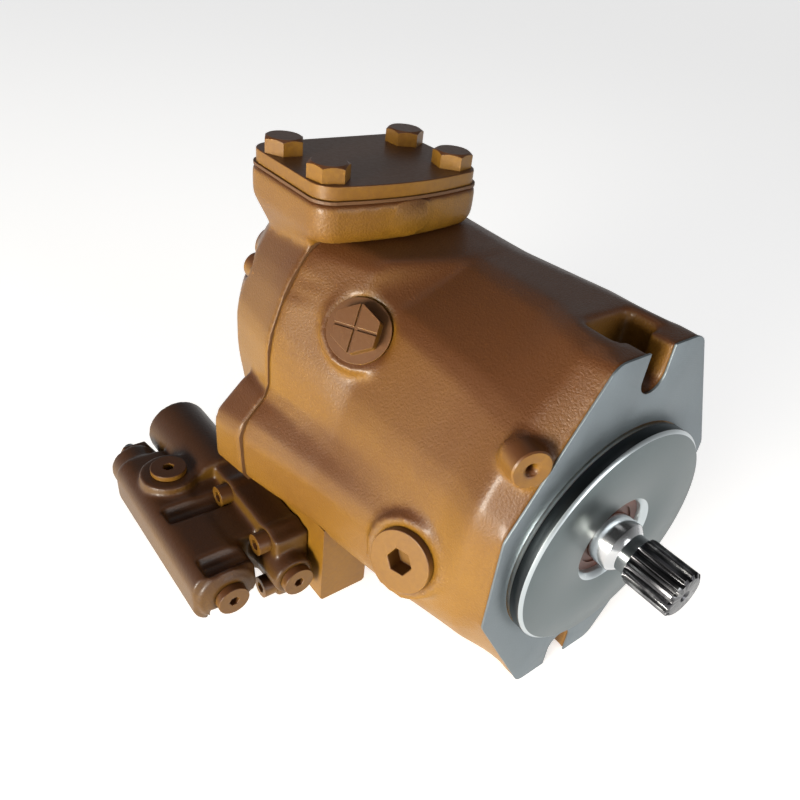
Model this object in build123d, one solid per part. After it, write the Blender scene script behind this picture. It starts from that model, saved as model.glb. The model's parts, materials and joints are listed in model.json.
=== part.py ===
from build123d import *
import math
import os

# Axial piston pump, swash-plate type, with a bolted two-spool pressure and flow control.
#
# Frame: origin where the shaft axis meets the front face of the mounting flange.
# The shaft runs along Y and its splined end points to -Y.  +Z is up, the normal of the
# suction pad.  +X is to the right for someone who faces the mounting flange.
# All lengths are in millimetres, at the real size.

# ---------------------------------------------------------------- overall lengths
JOINT_Y = 163.0           # joint face of housing and port block, from the flange face
REAR_L = 74.0             # joint face to the rear face of the port block
BALL_SETBACK = 79.0       # joint face to the tilt axis, forwards

# ---------------------------------------------------------------- mounting flange
PILOT_R = 63.5            # 127 mm pilot
PILOT_H = 9.5
PILOT_CHAMFER = 1.4
FLANGE_T = 14.0
EAR_Z = 104.0             # half height over the two ears
FLANGE_HALF_W = 74.0
FLANGE_FLAT_Z = 28.0      # half length of the straight sides
EAR_HALF_W = 30.0
BOLT_SPACING = 181.0
RELIEF_R = 16.0           # rounded pocket behind each slot for a bolt head
RELIEF_D = 18.0
SLOT_W = 17.5
EAR_CORNER_R = 9.0

# ---------------------------------------------------------------- shaft and its bearings
SHAFT_END_Y = -52.0
SPLINE_R = 12.7           # 25.4 mm over the teeth
SPLINE_TEETH = 15
SPLINE_DEPTH = 1.7
SPLINE_L = 27.0
NECK_R = 10.6             # relief neck behind the spline
NECK_L = 6.0
SEAL_R = 14.0             # journal under the lip seal
SEAL_HOUSING_R = 22.5
SEAL_BORE_DEPTH = 16.0    # measured from the pilot face
SEAL_T = 9.0
SEAL_SETBACK = 5.0
BRG_BORE_R = 15.0
BRG_OUTER_R = 31.0
BRG_W = 17.0
BRG_Y = 13.0              # front face of the front bearing
ROLLERS = 13
ROLLER_R = 3.9
SHAFT_MID_R = 17.0        # shoulder behind the bearing
SHAFT_DRIVE_R = 16.0      # seat of the ball guide and cylinder block
REAR_JOURNAL_R = 12.5
NEEDLE_R = 1.5
NEEDLE_COUNT = 24
NEEDLE_L = 18.0
NEEDLE_SHELL_R = 16.5
RUN_CLEAR = 0.03          # radial clearance of a running fit
SLIDE_CLEAR = 0.3         # gap between faces that only come close

# ---------------------------------------------------------------- rotating group
PISTONS = 9
PISTON_R = 10.0
PISTON_PITCH_R = 37.0
PISTON_L = 41.0
PISTON_NECK_L = 9.0
PISTON_BORE_R = 5.0
BALL_R = 7.0
BALL_CLEAR = 0.1
BALL_Y = JOINT_Y - BALL_SETBACK      # plane of the ball centres, and the tilt axis
SLIPPER_R = 11.4
SLIPPER_NECK_R = 9.4
SLIPPER_FOOT_T = 3.2
SLIPPER_H = 8.6           # running face to ball centre
RETAINER_T = 2.5
RETAINER_R = PISTON_PITCH_R + 13.0
GUIDE_R = 20.5
BLOCK_R = PISTON_PITCH_R + PISTON_R + 5.5
BLOCK_L = 56.0
BLOCK_BOTTOM = 6.0        # metal between the bores and the valve plate
VALVE_PLATE_T = 5.0
KIDNEY_W = 9.0

# ---------------------------------------------------------------- swash plate
SWASH_R = PISTON_PITCH_R + 13.0
SWASH_T = 12.0
CRADLE_R = 40.0
CRADLE_SHELL_T = 2.0
RUNNER_Z0 = 25.0
RUNNER_Z1 = 45.0
SWASH_HOLE_R = 26.5
ARM_Z = -19.0             # height of the stroking and bias pistons
ARM_HALF_H = 9.0
CAVITY_R = BLOCK_R + 6.5  # room round the cylinder block
STROKE_X = CAVITY_R + 15.0   # distance of the stroking piston from the shaft axis
BIAS_X = CAVITY_R + 11.0
ARM_OVER = 6.0            # arm length past the piston axes
ARM_T = 9.0
NOSE_R = 7.0              # round nose of the stroking and bias pistons
STROKE_R = 11.0
STROKE_L = 34.0
BIAS_R = 9.0
BIAS_L = 26.0
BIAS_WIRE_R = 1.6

# ---------------------------------------------------------------- castings
GASKET_T = 0.5
REAR_Y = JOINT_Y + REAR_L
CAVITY_Y0 = BALL_Y - CRADLE_R + 4.0      # floor of the cavity
SADDLE_TOP = BALL_Y - 0.8 * CRADLE_R     # edge of the cradle seats
SADDLE_MARGIN = 3.8       # seat metal past the end of the cradle bearing
PAD_X = -25.0             # centre of the suction pad
PAD_Y = JOINT_Y + 24.0
PAD_EDGE_X = 13.1         # from a cover bolt to the edge of the pad
PAD_EDGE_Y = 17.05
PAD_CORNER_R = 12.0
PAD_Z = 121.0
PAD_NECK_Z = 98.0
PAD_BULGE = 4.0
COVER_GASKET_T = 1.5
COVER_T = 7.0
COVER_BOLT_X = 77.8
COVER_BOLT_Y = 42.9
PAD_HALF_X = COVER_BOLT_X / 2 + PAD_EDGE_X
PAD_HALF_Y = COVER_BOLT_Y / 2 + PAD_EDGE_Y
COVER_BOLT_R = 6.0
COVER_BOLT_L = 24.0
HEX_AF = 19.0
HEX_H = 8.0
SUCTION_R = 24.0
SUCTION_Z0 = 72.0
PRESSURE_Y = JOINT_Y + 42.0
PRESSURE_R = 12.5
PRESSURE_X = 52.4         # bolt spacing across the pressure port
PRESSURE_YS = 26.2
PRESSURE_TAP_R = 5.0
PRESSURE_TAP_DEPTH = 20.0
PRESSURE_PAD_Z = -92.0
CORE_SHIFT = 38.0         # radius of the kidney passages in the port block

# ---------------------------------------------------------------- plugs
VENT_AT = (-69.0, JOINT_Y - 42.0, 68.0)
VENT_DIR = (-0.66, -0.50, 0.56)
VENT_R = 11.0
VENT_FLANGE_R = 16.5
VENT_BOSS_R = 21.0
DRAIN_AT = (-90.0, 44.0, -12.0)
DRAIN_DIR = (-0.93, -0.30, 0.20)
DRAIN_R = 14.0
DRAIN_BOSS_R = 22.5
GAUGE_AT = (-65.0, 2.2, 63.0)
GAUGE_DIR = (-0.31, -0.95, 0.03)
GAUGE_R = 3.0
GAUGE_BOSS_R = 9.5
REAR_PLUG_X = -50.0
REAR_PLUG_Z = 62.0
REAR_PLUG_R = 9.0

# ---------------------------------------------------------------- control valve
ADAPTER_X = -95.0         # mounting face of the valve on the adapter block
ADAPTER_IN_X = -64.0
ADAPTER_Y0 = JOINT_Y - 59.0
ADAPTER_Y1 = JOINT_Y + 33.0
ADAPTER_Z0 = -98.0
ADAPTER_Z1 = -41.5
VALVE_Y0 = ADAPTER_Y0 + 15.0  # front face of the pressure line
FLOW_Y0 = ADAPTER_Y0 + 6.0    # front face of the flow line
VALVE_Y1 = VALVE_Y0 + 119.0
VALVE_TOP = -61.0
VALVE_BOTTOM = -96.0
VALVE_LEFT = ADAPTER_X - 68.0
SPOOL_A = (ADAPTER_X - 49.0, -78.0)
SPOOL_B = (ADAPTER_X - 14.0, -75.0)
SPOOL_R = 5.0
SPOOL_L = 62.0
SPOOL_SETBACK = 10.0       # from the front face to the spool
SPOOL_STUB = 4.0
SPOOL_FLANGE_T = 2.0
SPRING_CHAMBER_R = 8.0
SPRING_PLATE_R = 7.4
SPRING_PLATE_T = 3.0
CAP_R = 9.5                # threaded cap at the end of each spring chamber
CAP_L = 8.0
CAP_AF = 24.0
CAP_HEX_H = 5.0
SPRING_L = 24.0
LOBE_A_END = VALVE_Y1 + 14.0
LOBE_B_END = VALVE_Y1 + 29.0
LOBE_B_R = 20.0
VALVE_PLUG_R = 9.0
VALVE_PLUG_HEX = 5.0
VALVE_PLUG_HEAD = 5.0
VALVE_PLUG_L = 6.0
SCREW_R = 4.0
SCREW_HEAD_R = 6.5
SCREW_HEAD_L = 8.0
EAR_R = 9.0
SCREW_AT = ((ADAPTER_Y0 + 27.0, -60.5), (ADAPTER_Y1 - 18.0, -60.5),
            (ADAPTER_Y0 + 21.0, -90.0), (ADAPTER_Y1 - 18.0, -90.0))
EAR_X = ADAPTER_X - 20.0
TOP_BOSS = (ADAPTER_X - 45.0, VALVE_Y1 - 30.0)
TOP_BOSS_R = 17.0
TOP_BOSS_H = 6.0
TOP_PLUG_R = 10.5
ADJUST_R = 4.0
ADJUST_OUT = 6.0
LOCKNUT_AF = 13.0
LOCKNUT_H = 6.0

# ---------------------------------------------------------------- derived places
PILOT_Y = -PILOT_H
SWASH_FACE_Y = BALL_Y - SLIPPER_H
SWASH_BACK_Y = SWASH_FACE_Y - SWASH_T
BLOCK_Y1 = JOINT_Y - VALVE_PLATE_T
BLOCK_Y0 = BLOCK_Y1 - BLOCK_L
PISTON_Y0 = BALL_Y + PISTON_NECK_L
BRG_Y1 = BRG_Y + BRG_W
NEEDLE_Y0 = JOINT_Y + 6.0
SHAFT_REAR_Y = NEEDLE_Y0 + NEEDLE_L + 3.0
PITCH_ANGLE = 360.0 / PISTONS
BLOCK_BORE_END = BLOCK_Y1 - BLOCK_BOTTOM
PORT_Y0 = JOINT_Y + GASKET_T
ARM_FACE_Y = SWASH_FACE_Y
NOSE_Y = ARM_FACE_Y + NOSE_R + RUN_CLEAR
COVER_Z0 = PAD_Z + COVER_GASKET_T
COVER_Z1 = COVER_Z0 + COVER_T
SADDLE_HALF_X = SADDLE_MARGIN + math.sqrt(
    (CRADLE_R + CRADLE_SHELL_T) ** 2 - (BALL_Y - SADDLE_TOP) ** 2)
THROAT_Y0 = BALL_Y - 41.0  # front end of the room for the bias side arm


# ================================================================ small builders
def cyl_y(r, y0, y1, x=0.0, z=0.0):
    return Pos(x, (y0 + y1) / 2, z) * Rot(90, 0, 0) * Cylinder(r, abs(y1 - y0))


def cyl_x(r, x0, x1, y=0.0, z=0.0):
    return Pos((x0 + x1) / 2, y, z) * Rot(0, 90, 0) * Cylinder(r, abs(x1 - x0))


def cyl_z(r, z0, z1, x=0.0, y=0.0):
    return Pos(x, y, (z0 + z1) / 2) * Cylinder(r, abs(z1 - z0))


def cone_y(r0, r1, y0, y1, x=0.0, z=0.0):
    """Truncated cone along Y with radius r0 at y0 and r1 at y1."""
    return Pos(x, (y0 + y1) / 2, z) * Rot(-90, 0, 0) * Cone(r0, r1, y1 - y0)


def block(x0, x1, y0, y1, z0, z1):
    return Pos((x0 + x1) / 2, (y0 + y1) / 2, (z0 + z1) / 2) * Box(x1 - x0, y1 - y0, z1 - z0)


def prism_y(points, y0, y1):
    """Extrude a closed outline of (x, z) points from y0 to y1."""
    face = make_face(Polyline(*[(x, y0, z) for x, z in points], close=True))
    return extrude(face, amount=y1 - y0, dir=(0, 1, 0))


def prism_z(points, z0, z1):
    face = make_face(Polyline(*[(x, y, z0) for x, y in points], close=True))
    return extrude(face, amount=z1 - z0, dir=(0, 0, 1))


def clip_corners(points, cut):
    """Replace each corner by two points, cut from it along both edges."""
    out = []
    n = len(points)
    for i in range(n):
        p = points[i]
        for q in (points[i - 1], points[(i + 1) % n]):
            d = math.dist(p, q)
            t = min(cut, 0.3 * d) / d
            out.append((p[0] + (q[0] - p[0]) * t, p[1] + (q[1] - p[1]) * t))
    return out


def shell_loft(stations, cut):
    """Ruled solid through closed outlines, each a (y, [(x, z), ...]) pair."""
    spans = []
    for (ya, pa), (yb, pb) in zip(stations[:-1], stations[1:]):
        wires = []
        for y, pts in ((ya, pa), (yb, pb)):
            ring = [(x, y, z) for x, z in clip_corners(pts, cut)]
            wires.append(Wire.make_polygon([Vector(*p) for p in ring], close=True))
        spans.append(Solid.make_loft(wires, ruled=True))
    body = spans[0]
    for s in spans[1:]:
        body = body + s
    return body


def along(origin, direction):
    """Placement whose +Z is the given direction and whose origin is the given point."""
    return Plane(origin=origin, z_dir=direction).location


def hexagon(af, h):
    """Hexagonal prism from z=0 to h, across flats af."""
    return extrude(RegularPolygon(af / 2, 6, major_radius=False), amount=h)


def polar(n, r, start=0.0):
    return [(r * math.cos(math.radians(start + 360 / n * i)),
             r * math.sin(math.radians(start + 360 / n * i))) for i in range(n)]


def group(shapes):
    return Compound(children=list(shapes))


def only_solid(shape):
    """The one solid of a result, the largest if a sliver came with it."""
    solids = sorted(shape.solids(), key=lambda s: s.volume)
    return solids[-1]


# ================================================================ outlines
def flange_outline():
    top = EAR_Z
    return [(-EAR_HALF_W, top), (-FLANGE_HALF_W, FLANGE_FLAT_Z), (-FLANGE_HALF_W, -FLANGE_FLAT_Z),
            (-EAR_HALF_W, -top), (EAR_HALF_W, -top), (FLANGE_HALF_W, -FLANGE_FLAT_Z),
            (FLANGE_HALF_W, FLANGE_FLAT_Z), (EAR_HALF_W, top)]


def housing_stations():
    """Outer form of the pot casting, seen along +Y, from the flange to the joint face."""
    return [
        (1, [(28, 103), (50, 69), (73, 28), (73, -28), (30, -103), (-30, -103), (-62, -47),
             (-73, -28), (-73, -8), (-73, 10), (-73, 28), (-51, 66), (-29, 103)]),
        (FLANGE_T + 2, [(28, 105), (52, 74), (72, 30), (71, -46), (33, -95), (-33, -97), (-69, -54),
                        (-79, -36), (-81, -12), (-81, 10), (-80, 34), (-60, 72), (-30, 106)]),
        (34, [(26, 105), (54, 76), (71, 28), (70, -48), (34, -88), (-38, -88), (-72, -56),
              (-81, -40), (-84, -10), (-80, 12), (-76, 36), (-58, 72), (-24, 106)]),
        (52, [(25, 105), (59, 78), (74, 28), (70, -50), (34, -87), (-40, -86), (-74, -58),
              (-87, -42), (-90, -8), (-82, 12), (-77, 34), (-56, 75), (-16, 104)]),
        (JOINT_Y - 51, [(24, 101), (64, 80), (78, 26), (72, -54), (34, -88), (-44, -86), (-78, -60),
               (-98, -42), (-100, -6), (-87, 10), (-81, 34), (-57, 79), (-8, 99)]),
        (JOINT_Y - 35, [(26, 100), (65, 80), (79, 26), (72, -55), (34, -88), (-45, -86), (-78, -60),
               (-102, -42), (-104, -5), (-89, 12), (-86, 40), (-68, 80), (-54, 99)]),
        (JOINT_Y, housing_rear_outline()),
    ]


def housing_rear_outline():
    return [(28, 100), (66, 80), (80, 25), (74, -56), (34, -88), (-46, -86), (-78, -60),
            (-113, -41), (-115, -4), (-97, 16), (-97, 46), (-86, 77), (-70, 100)]


def port_block_stations():
    return [
        (PORT_Y0, [(28, 100), (66, 80), (80, 25), (74, -56), (34, -88), (-46, -86), (-78, -60),
                   (-90, -20), (-97, 16), (-97, 46), (-86, 77), (-70, 100)]),
        (REAR_Y - 24, [(28, 98), (62, 78), (76, 25), (70, -54), (34, -86), (-44, -84), (-72, -60),
                       (-84, -20), (-90, 16), (-90, 44), (-80, 70), (-66, 94)]),
        (REAR_Y, [(22, 86), (52, 70), (64, 22), (60, -46), (28, -72), (-36, -72), (-60, -52),
                  (-70, -18), (-76, 14), (-76, 40), (-68, 62), (-54, 84)]),
    ]


def wing_stations():
    """Left shoulder of the port block, in line with the wing of the housing."""
    return [
        (PORT_Y0, [(-60, 16), (-97, 16), (-115, -4), (-113, -41), (-60, -41)]),
        (JOINT_Y + 27, [(-60, 15), (-96, 15), (-118, -7), (-118, -40), (-60, -40)]),
    ]


# ================================================================ housing
def flange_plate():
    plate = prism_y(flange_outline(), 0, FLANGE_T)
    corners = plate.edges().filter_by(Axis.Y)
    plate = fillet(corners, EAR_CORNER_R)
    for s in (1, -1):
        z_in = s * BOLT_SPACING / 2
        z_out = s * (EAR_Z + 5)
        slot = cyl_y(SLOT_W / 2, -1, FLANGE_T + 1, 0, z_in)
        slot += block(-SLOT_W / 2, SLOT_W / 2, -1, FLANGE_T + 1, min(z_in, z_out), max(z_in, z_out))
        plate -= slot
    return plate


def bolt_relief():
    """Clear space behind each ear for the head of the mounting bolt."""
    out = None
    for sign in (1, -1):
        middle = sign * (BOLT_SPACING / 2)
        tool = cyl_y(RELIEF_R, 0, FLANGE_T + RELIEF_D, 0, middle)
        tool += block(-RELIEF_R, RELIEF_R, 0, FLANGE_T + RELIEF_D,
                      min(middle, sign * (EAR_Z + 20)), max(middle, sign * (EAR_Z + 20)))
        out = tool if out is None else out + tool
    return out


def stroke_bore(extra=0.0):
    return cyl_y(STROKE_R + RUN_CLEAR + extra, BALL_Y + 10, JOINT_Y - 6, -STROKE_X, ARM_Z)


def bias_bore(extra=0.0):
    return cyl_y(BIAS_R + RUN_CLEAR + extra, BALL_Y + 12, JOINT_Y + 1, BIAS_X, ARM_Z)


def bias_tower():
    """Bulge on the right side round the bias piston."""
    return cyl_y(BIAS_R + 9, BALL_Y - 52, JOINT_Y, BIAS_X, ARM_Z)


def arm_space():
    """Room inside the housing for the arms of the swash plate over the whole tilt."""
    z0 = ARM_Z - ARM_HALF_H - 2
    z1 = ARM_Z + ARM_HALF_H + 2
    left = block(-STROKE_X - ARM_OVER - 2.5, 0, BALL_Y - 22, BALL_Y + 20, z0, z1)
    right = block(0, BIAS_X + BIAS_R + 1.5, THROAT_Y0, BALL_Y + 16, z0, z1)
    return left + right


def housing_boss(at, direction, r, h, depth=16.0):
    return along(at, direction) * Pos(0, 0, (h - depth) / 2) * Cylinder(r, h + depth)


def housing_cavity():
    cav = cyl_y(CAVITY_R, CAVITY_Y0, JOINT_Y + 1)
    cav += cyl_y(SEAL_HOUSING_R, PILOT_Y - 1, PILOT_Y + SEAL_BORE_DEPTH)
    cav += cone_y(SEAL_HOUSING_R + 1.6, SEAL_HOUSING_R, PILOT_Y - 0.01, PILOT_Y + 1.6)
    cav += cyl_y(SHAFT_MID_R + 2, 0, CAVITY_Y0 + 1)
    cav += cyl_y(BRG_OUTER_R, BRG_Y, CAVITY_Y0 + 1)
    return cav


def saddle():
    """Seats of the two cradle bearings, with a concave face about the tilt axis."""
    parts = []
    for s in (1, -1):
        z0, z1 = sorted((s * (RUNNER_Z0 - 0.5), s * (RUNNER_Z1 + 1)))
        seat = block(-SADDLE_HALF_X, SADDLE_HALF_X, CAVITY_Y0 - 4, SADDLE_TOP, z0, z1)
        parts.append(seat)
    return parts


def cradle_space():
    """Cylinder about the tilt axis for the runners and their bearings, and the room above."""
    tool = None
    for s in (1, -1):
        z0, z1 = sorted((s * (RUNNER_Z0 - 1), s * (RUNNER_Z1 + 1)))
        ring = cyl_z(CRADLE_R + CRADLE_SHELL_T, z0, z1, 0, BALL_Y)
        ring = ring & block(-99, 99, 0, SADDLE_TOP + 1, z0 - 1, z1 + 1)
        ring += block(-CRADLE_R - 2, CRADLE_R + 2, SADDLE_TOP, BALL_Y, z0, z1)
        tool = ring if tool is None else tool + ring
    return tool


def threaded(at, direction, r, depth):
    return along(at, direction) * Pos(0, 0, -depth / 2 + 1) * Cylinder(r, depth + 2)


def housing_screw_holes():
    tool = None
    for x, z in joint_screw_places():
        hole = cyl_y(5.0, JOINT_Y - 22, JOINT_Y + 1, x, z)
        tool = hole if tool is None else tool + hole
    return tool


def joint_screw_places():
    return ((58, 62), (62, -44), (-48, -72), (-73, 62))


def make_housing():
    body = shell_loft(housing_stations(), 5.0)
    body += bias_tower()
    body += housing_boss(VENT_AT, VENT_DIR, VENT_BOSS_R, 1.5, 22)
    body += housing_boss(DRAIN_AT, DRAIN_DIR, DRAIN_BOSS_R, 0.0, 20)
    body += housing_boss(GAUGE_AT, GAUGE_DIR, GAUGE_BOSS_R, 0.0, 16)
    body -= bolt_relief()
    body -= block(-160, ADAPTER_IN_X, ADAPTER_Y0 - SLIDE_CLEAR, JOINT_Y + 1, -130, ADAPTER_Z1 + SLIDE_CLEAR)
    body += flange_plate()
    pilot = cyl_y(PILOT_R, PILOT_Y, 1)
    pilot = chamfer(pilot.edges().sort_by(Axis.Y)[0], PILOT_CHAMFER)
    body += pilot
    body -= housing_cavity()
    body -= arm_space()
    for seat in saddle():
        body += seat
    body -= cradle_space()
    body -= cyl_y(BRG_OUTER_R, BRG_Y, BRG_Y1)
    body -= cyl_y(SHAFT_MID_R + 3, BRG_Y - 4, CAVITY_Y0 + 8)
    body -= stroke_bore()
    body -= bias_bore()
    body -= threaded(VENT_AT, VENT_DIR, VENT_R, 14)
    body -= along(VENT_AT, VENT_DIR) * Pos(0, 0, 5.5) * Cylinder(VENT_FLANGE_R + 1.0, 12)
    body -= threaded(DRAIN_AT, DRAIN_DIR, DRAIN_R, 15)
    body -= along(DRAIN_AT, DRAIN_DIR) * Pos(0, 0, 1) * Cylinder(DRAIN_R + 4.5, 5)
    body -= threaded(GAUGE_AT, GAUGE_DIR, GAUGE_R, 12)
    body -= housing_screw_holes()
    for y, z in SCREW_AT:
        if y < JOINT_Y - 8:
            body -= cyl_x(SCREW_R, ADAPTER_IN_X - 1, ADAPTER_IN_X + 14, y, z)
    return only_solid(body)


# ================================================================ port block
def pad_outline(grow=0.0, bulge=PAD_BULGE):
    """Rounded rectangle of the suction pad with a gently convex front edge."""
    x0, x1 = PAD_X - PAD_HALF_X - grow, PAD_X + PAD_HALF_X + grow
    y0, y1 = PAD_Y - PAD_HALF_Y - grow, PAD_Y + PAD_HALF_Y + grow
    r = PAD_CORNER_R
    pts = []
    for k in range(9):
        u = k / 8
        pts.append((x0 + r + (x1 - x0 - 2 * r) * u, y0 - bulge * (1 - (2 * u - 1) ** 2)))
    for cx, cy, a0 in ((x1 - r, y0 + r, -90), (x1 - r, y1 - r, 0), (x0 + r, y1 - r, 90), (x0 + r, y0 + r, 180)):
        for k in range(7):
            a = math.radians(a0 + 90 * k / 6)
            pts.append((cx + r * math.cos(a), cy + r * math.sin(a)))
    clean = []
    for p in pts:
        if not clean or math.dist(p, clean[-1]) > 0.05:
            clean.append(p)
    if math.dist(clean[0], clean[-1]) < 0.05:
        clean.pop()
    return clean


def make_pad():
    upper = prism_z(pad_outline(), PAD_NECK_Z + 8, PAD_Z)
    wires = []
    for grow, z in ((-9.0, PAD_NECK_Z - 14), (0.0, PAD_NECK_Z + 8)):
        ring = [Vector(x, y, z) for x, y in pad_outline(grow)]
        wires.append(Wire.make_polygon(ring, close=True))
    return upper + Solid.make_loft(wires, ruled=True)


def kidney(r, width, a0, a1, y0, y1):
    """Curved slot about the shaft axis from angle a0 to a1."""
    steps = 14
    outer = []
    inner = []
    for k in range(steps + 1):
        a = math.radians(a0 + (a1 - a0) * k / steps)
        outer.append(((r + width / 2) * math.cos(a), (r + width / 2) * math.sin(a)))
        inner.append(((r - width / 2) * math.cos(a), (r - width / 2) * math.sin(a)))
    slot = prism_y(outer + inner[::-1], y0, y1)
    for a in (a0, a1):
        x, z = r * math.cos(math.radians(a)), r * math.sin(math.radians(a))
        slot += cyl_y(width / 2, y0, y1, x, z)
    return slot


def port_passages():
    """Suction passage up to the pad and pressure passage down to the lower port."""
    suction = kidney(CORE_SHIFT, 14, 25, 155, PORT_Y0 - 1, PORT_Y0 + 20)
    suction += cyl_z(SUCTION_R, SUCTION_Z0 - 20, PAD_Z + 1, PAD_X, PAD_Y + 3)
    suction += block(-34, 20, PORT_Y0 + 8, PAD_Y + 12, 34, 60)
    pressure = kidney(CORE_SHIFT, 12, 205, 335, PORT_Y0 - 1, PORT_Y0 + 18)
    pressure += cyl_z(PRESSURE_R, PRESSURE_PAD_Z - 1, -42, 0, PRESSURE_Y)
    pressure += block(-9, 9, PORT_Y0 + 8, PRESSURE_Y + 6, -44, -32)
    return suction + pressure


def make_port_block():
    body = shell_loft(port_block_stations(), 5.0)
    body += shell_loft(wing_stations(), 4.0)
    pad = make_pad()
    body += pad
    lower = block(-40, 40, PRESSURE_Y - 30, PRESSURE_Y + 26, PRESSURE_PAD_Z, -70)
    body += fillet(lower.edges().filter_by(Axis.Z), 12)
    boss = cyl_y(REAR_PLUG_R + 6, REAR_Y - 30, REAR_Y + 3, REAR_PLUG_X, REAR_PLUG_Z)
    body += boss
    body -= block(-160, ADAPTER_IN_X, PORT_Y0 - 1, ADAPTER_Y1 + SLIDE_CLEAR, -130, ADAPTER_Z1 + SLIDE_CLEAR)
    body -= block(-160, 160, JOINT_Y - 60, PORT_Y0, -160, PAD_NECK_Z + 2)
    body -= port_passages()
    body -= cyl_y(NEEDLE_SHELL_R, NEEDLE_Y0, SHAFT_REAR_Y + 1)
    body -= cyl_y(REAR_JOURNAL_R + 4, PORT_Y0 - 1, NEEDLE_Y0 + 1)
    for sx in (-1, 1):
        for sy in (-1, 1):
            x, y = PAD_X + sx * COVER_BOLT_X / 2, PAD_Y + sy * COVER_BOLT_Y / 2
            body -= cyl_z(COVER_BOLT_R, COVER_Z1 - COVER_BOLT_L - 1.5, PAD_Z + 1, x, y)
            px, py = sx * PRESSURE_X / 2, PRESSURE_Y + sy * PRESSURE_YS / 2
            body -= cyl_z(PRESSURE_TAP_R, PRESSURE_PAD_Z - 1, PRESSURE_PAD_Z + PRESSURE_TAP_DEPTH, px, py)
    body -= cyl_y(REAR_PLUG_R, REAR_Y - 12, REAR_Y + 4, REAR_PLUG_X, REAR_PLUG_Z)
    for x, z in joint_screw_places():
        body -= cyl_y(5.0, JOINT_Y, REAR_Y + 10, x, z)
        body -= cyl_y(9.0, REAR_Y - 26, REAR_Y + 10, x, z)
    for y, z in SCREW_AT:
        if y > JOINT_Y + 8:
            body -= cyl_x(SCREW_R, ADAPTER_IN_X - 1, ADAPTER_IN_X + 14, y, z)
    return only_solid(body)


def make_joint_gasket():
    ring = prism_y(clip_corners(housing_rear_outline(), 5.0), JOINT_Y, PORT_Y0)
    ring -= cyl_y(CAVITY_R, JOINT_Y - 1, PORT_Y0 + 1)
    ring -= bias_bore(1.0)
    ring -= block(-160, ADAPTER_IN_X, JOINT_Y - 5, PORT_Y0 + 5, -130, ADAPTER_Z1 + SLIDE_CLEAR)
    for x, z in joint_screw_places():
        ring -= cyl_y(5.0, JOINT_Y - 1, PORT_Y0 + 1, x, z)
    return only_solid(ring)


def socket_screw_y(x, z, y_head, y_tip, r, head_r, head_l):
    """Socket head screw along Y whose head is at its +Y end."""
    s = cyl_y(r, y_tip, y_head, x, z) + cyl_y(head_r, y_head, y_head + head_l, x, z)
    s -= Pos(x, y_head + head_l - 4, z) * Rot(-90, 0, 0) * hexagon(head_r * 1.1, 6)
    return s


def make_joint_screws():
    y_head = REAR_Y - 26
    return group([socket_screw_y(x, z, y_head, JOINT_Y - 20, 5.0, 8.0, 10.0) for x, z in joint_screw_places()])


def make_cover():
    plate = prism_z(pad_outline(-1.5), COVER_Z0, COVER_Z1)
    for sx in (-1, 1):
        for sy in (-1, 1):
            plate -= cyl_z(COVER_BOLT_R, COVER_Z0 - 1, COVER_Z1 + 1,
                           PAD_X + sx * COVER_BOLT_X / 2, PAD_Y + sy * COVER_BOLT_Y / 2)
    return plate


def make_cover_gasket():
    plate = prism_z(pad_outline(-0.4), PAD_Z, COVER_Z0)
    plate -= cyl_z(SUCTION_R, PAD_Z - 1, COVER_Z0 + 1, PAD_X, PAD_Y + 3)
    for sx in (-1, 1):
        for sy in (-1, 1):
            plate -= cyl_z(COVER_BOLT_R, PAD_Z - 1, COVER_Z0 + 1,
                           PAD_X + sx * COVER_BOLT_X / 2, PAD_Y + sy * COVER_BOLT_Y / 2)
    return plate


def make_cover_bolts():
    out = []
    for k, (sx, sy) in enumerate(((-1, -1), (-1, 1), (1, -1), (1, 1))):
        x, y = PAD_X + sx * COVER_BOLT_X / 2, PAD_Y + sy * COVER_BOLT_Y / 2
        head = Pos(x, y, COVER_Z1) * Rot(0, 0, 12 + 17 * k) * hexagon(HEX_AF, HEX_H)
        head = head & cyl_z(HEX_AF * 0.565, COVER_Z1, COVER_Z1 + HEX_H, x, y)
        out.append(head + cyl_z(COVER_BOLT_R, COVER_Z1 - COVER_BOLT_L, COVER_Z1, x, y))
    return group(out)


# ================================================================ plugs
def make_vent_plug():
    """Hexagon plug with a round flange and a crossed slot in its head."""
    flange = Pos(0, 0, 1.25) * Cylinder(VENT_FLANGE_R, 3.5)
    head = Pos(0, 0, 3.0) * hexagon(22.0, 8.0)
    head = head & (Pos(0, 0, 7.0) * Cylinder(12.4, 8.0))
    stem = Pos(0, 0, -4.25) * Cylinder(VENT_R, 10.5)
    plug = flange + head + stem
    plug -= Pos(0, 0, 11.0) * Box(40, 1.6, 2.4)
    plug -= Pos(0, 0, 11.0) * Box(1.6, 40, 2.4)
    return along(VENT_AT, VENT_DIR) * Rot(0, 0, 20) * plug


def make_drain_plug():
    """Socket plug whose flange sits in the counterbore of its boss."""
    plug = Pos(0, 0, 0.75) * Cylinder(DRAIN_R + 2.6, 4.5)
    plug += Pos(0, 0, -6.0) * Cylinder(DRAIN_R, 11.0)
    plug -= Pos(0, 0, -6.0) * hexagon(12.0, 12.0)
    return along(DRAIN_AT, DRAIN_DIR) * plug


def make_rear_plug():
    plug = cyl_y(REAR_PLUG_R, REAR_Y - 9, REAR_Y + 3, REAR_PLUG_X, REAR_PLUG_Z)
    plug += cyl_y(REAR_PLUG_R + 3, REAR_Y + 3, REAR_Y + 7, REAR_PLUG_X, REAR_PLUG_Z)
    plug -= Pos(REAR_PLUG_X, REAR_Y - 1, REAR_PLUG_Z) * Rot(-90, 0, 0) * hexagon(8.0, 9.0)
    return plug


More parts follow.
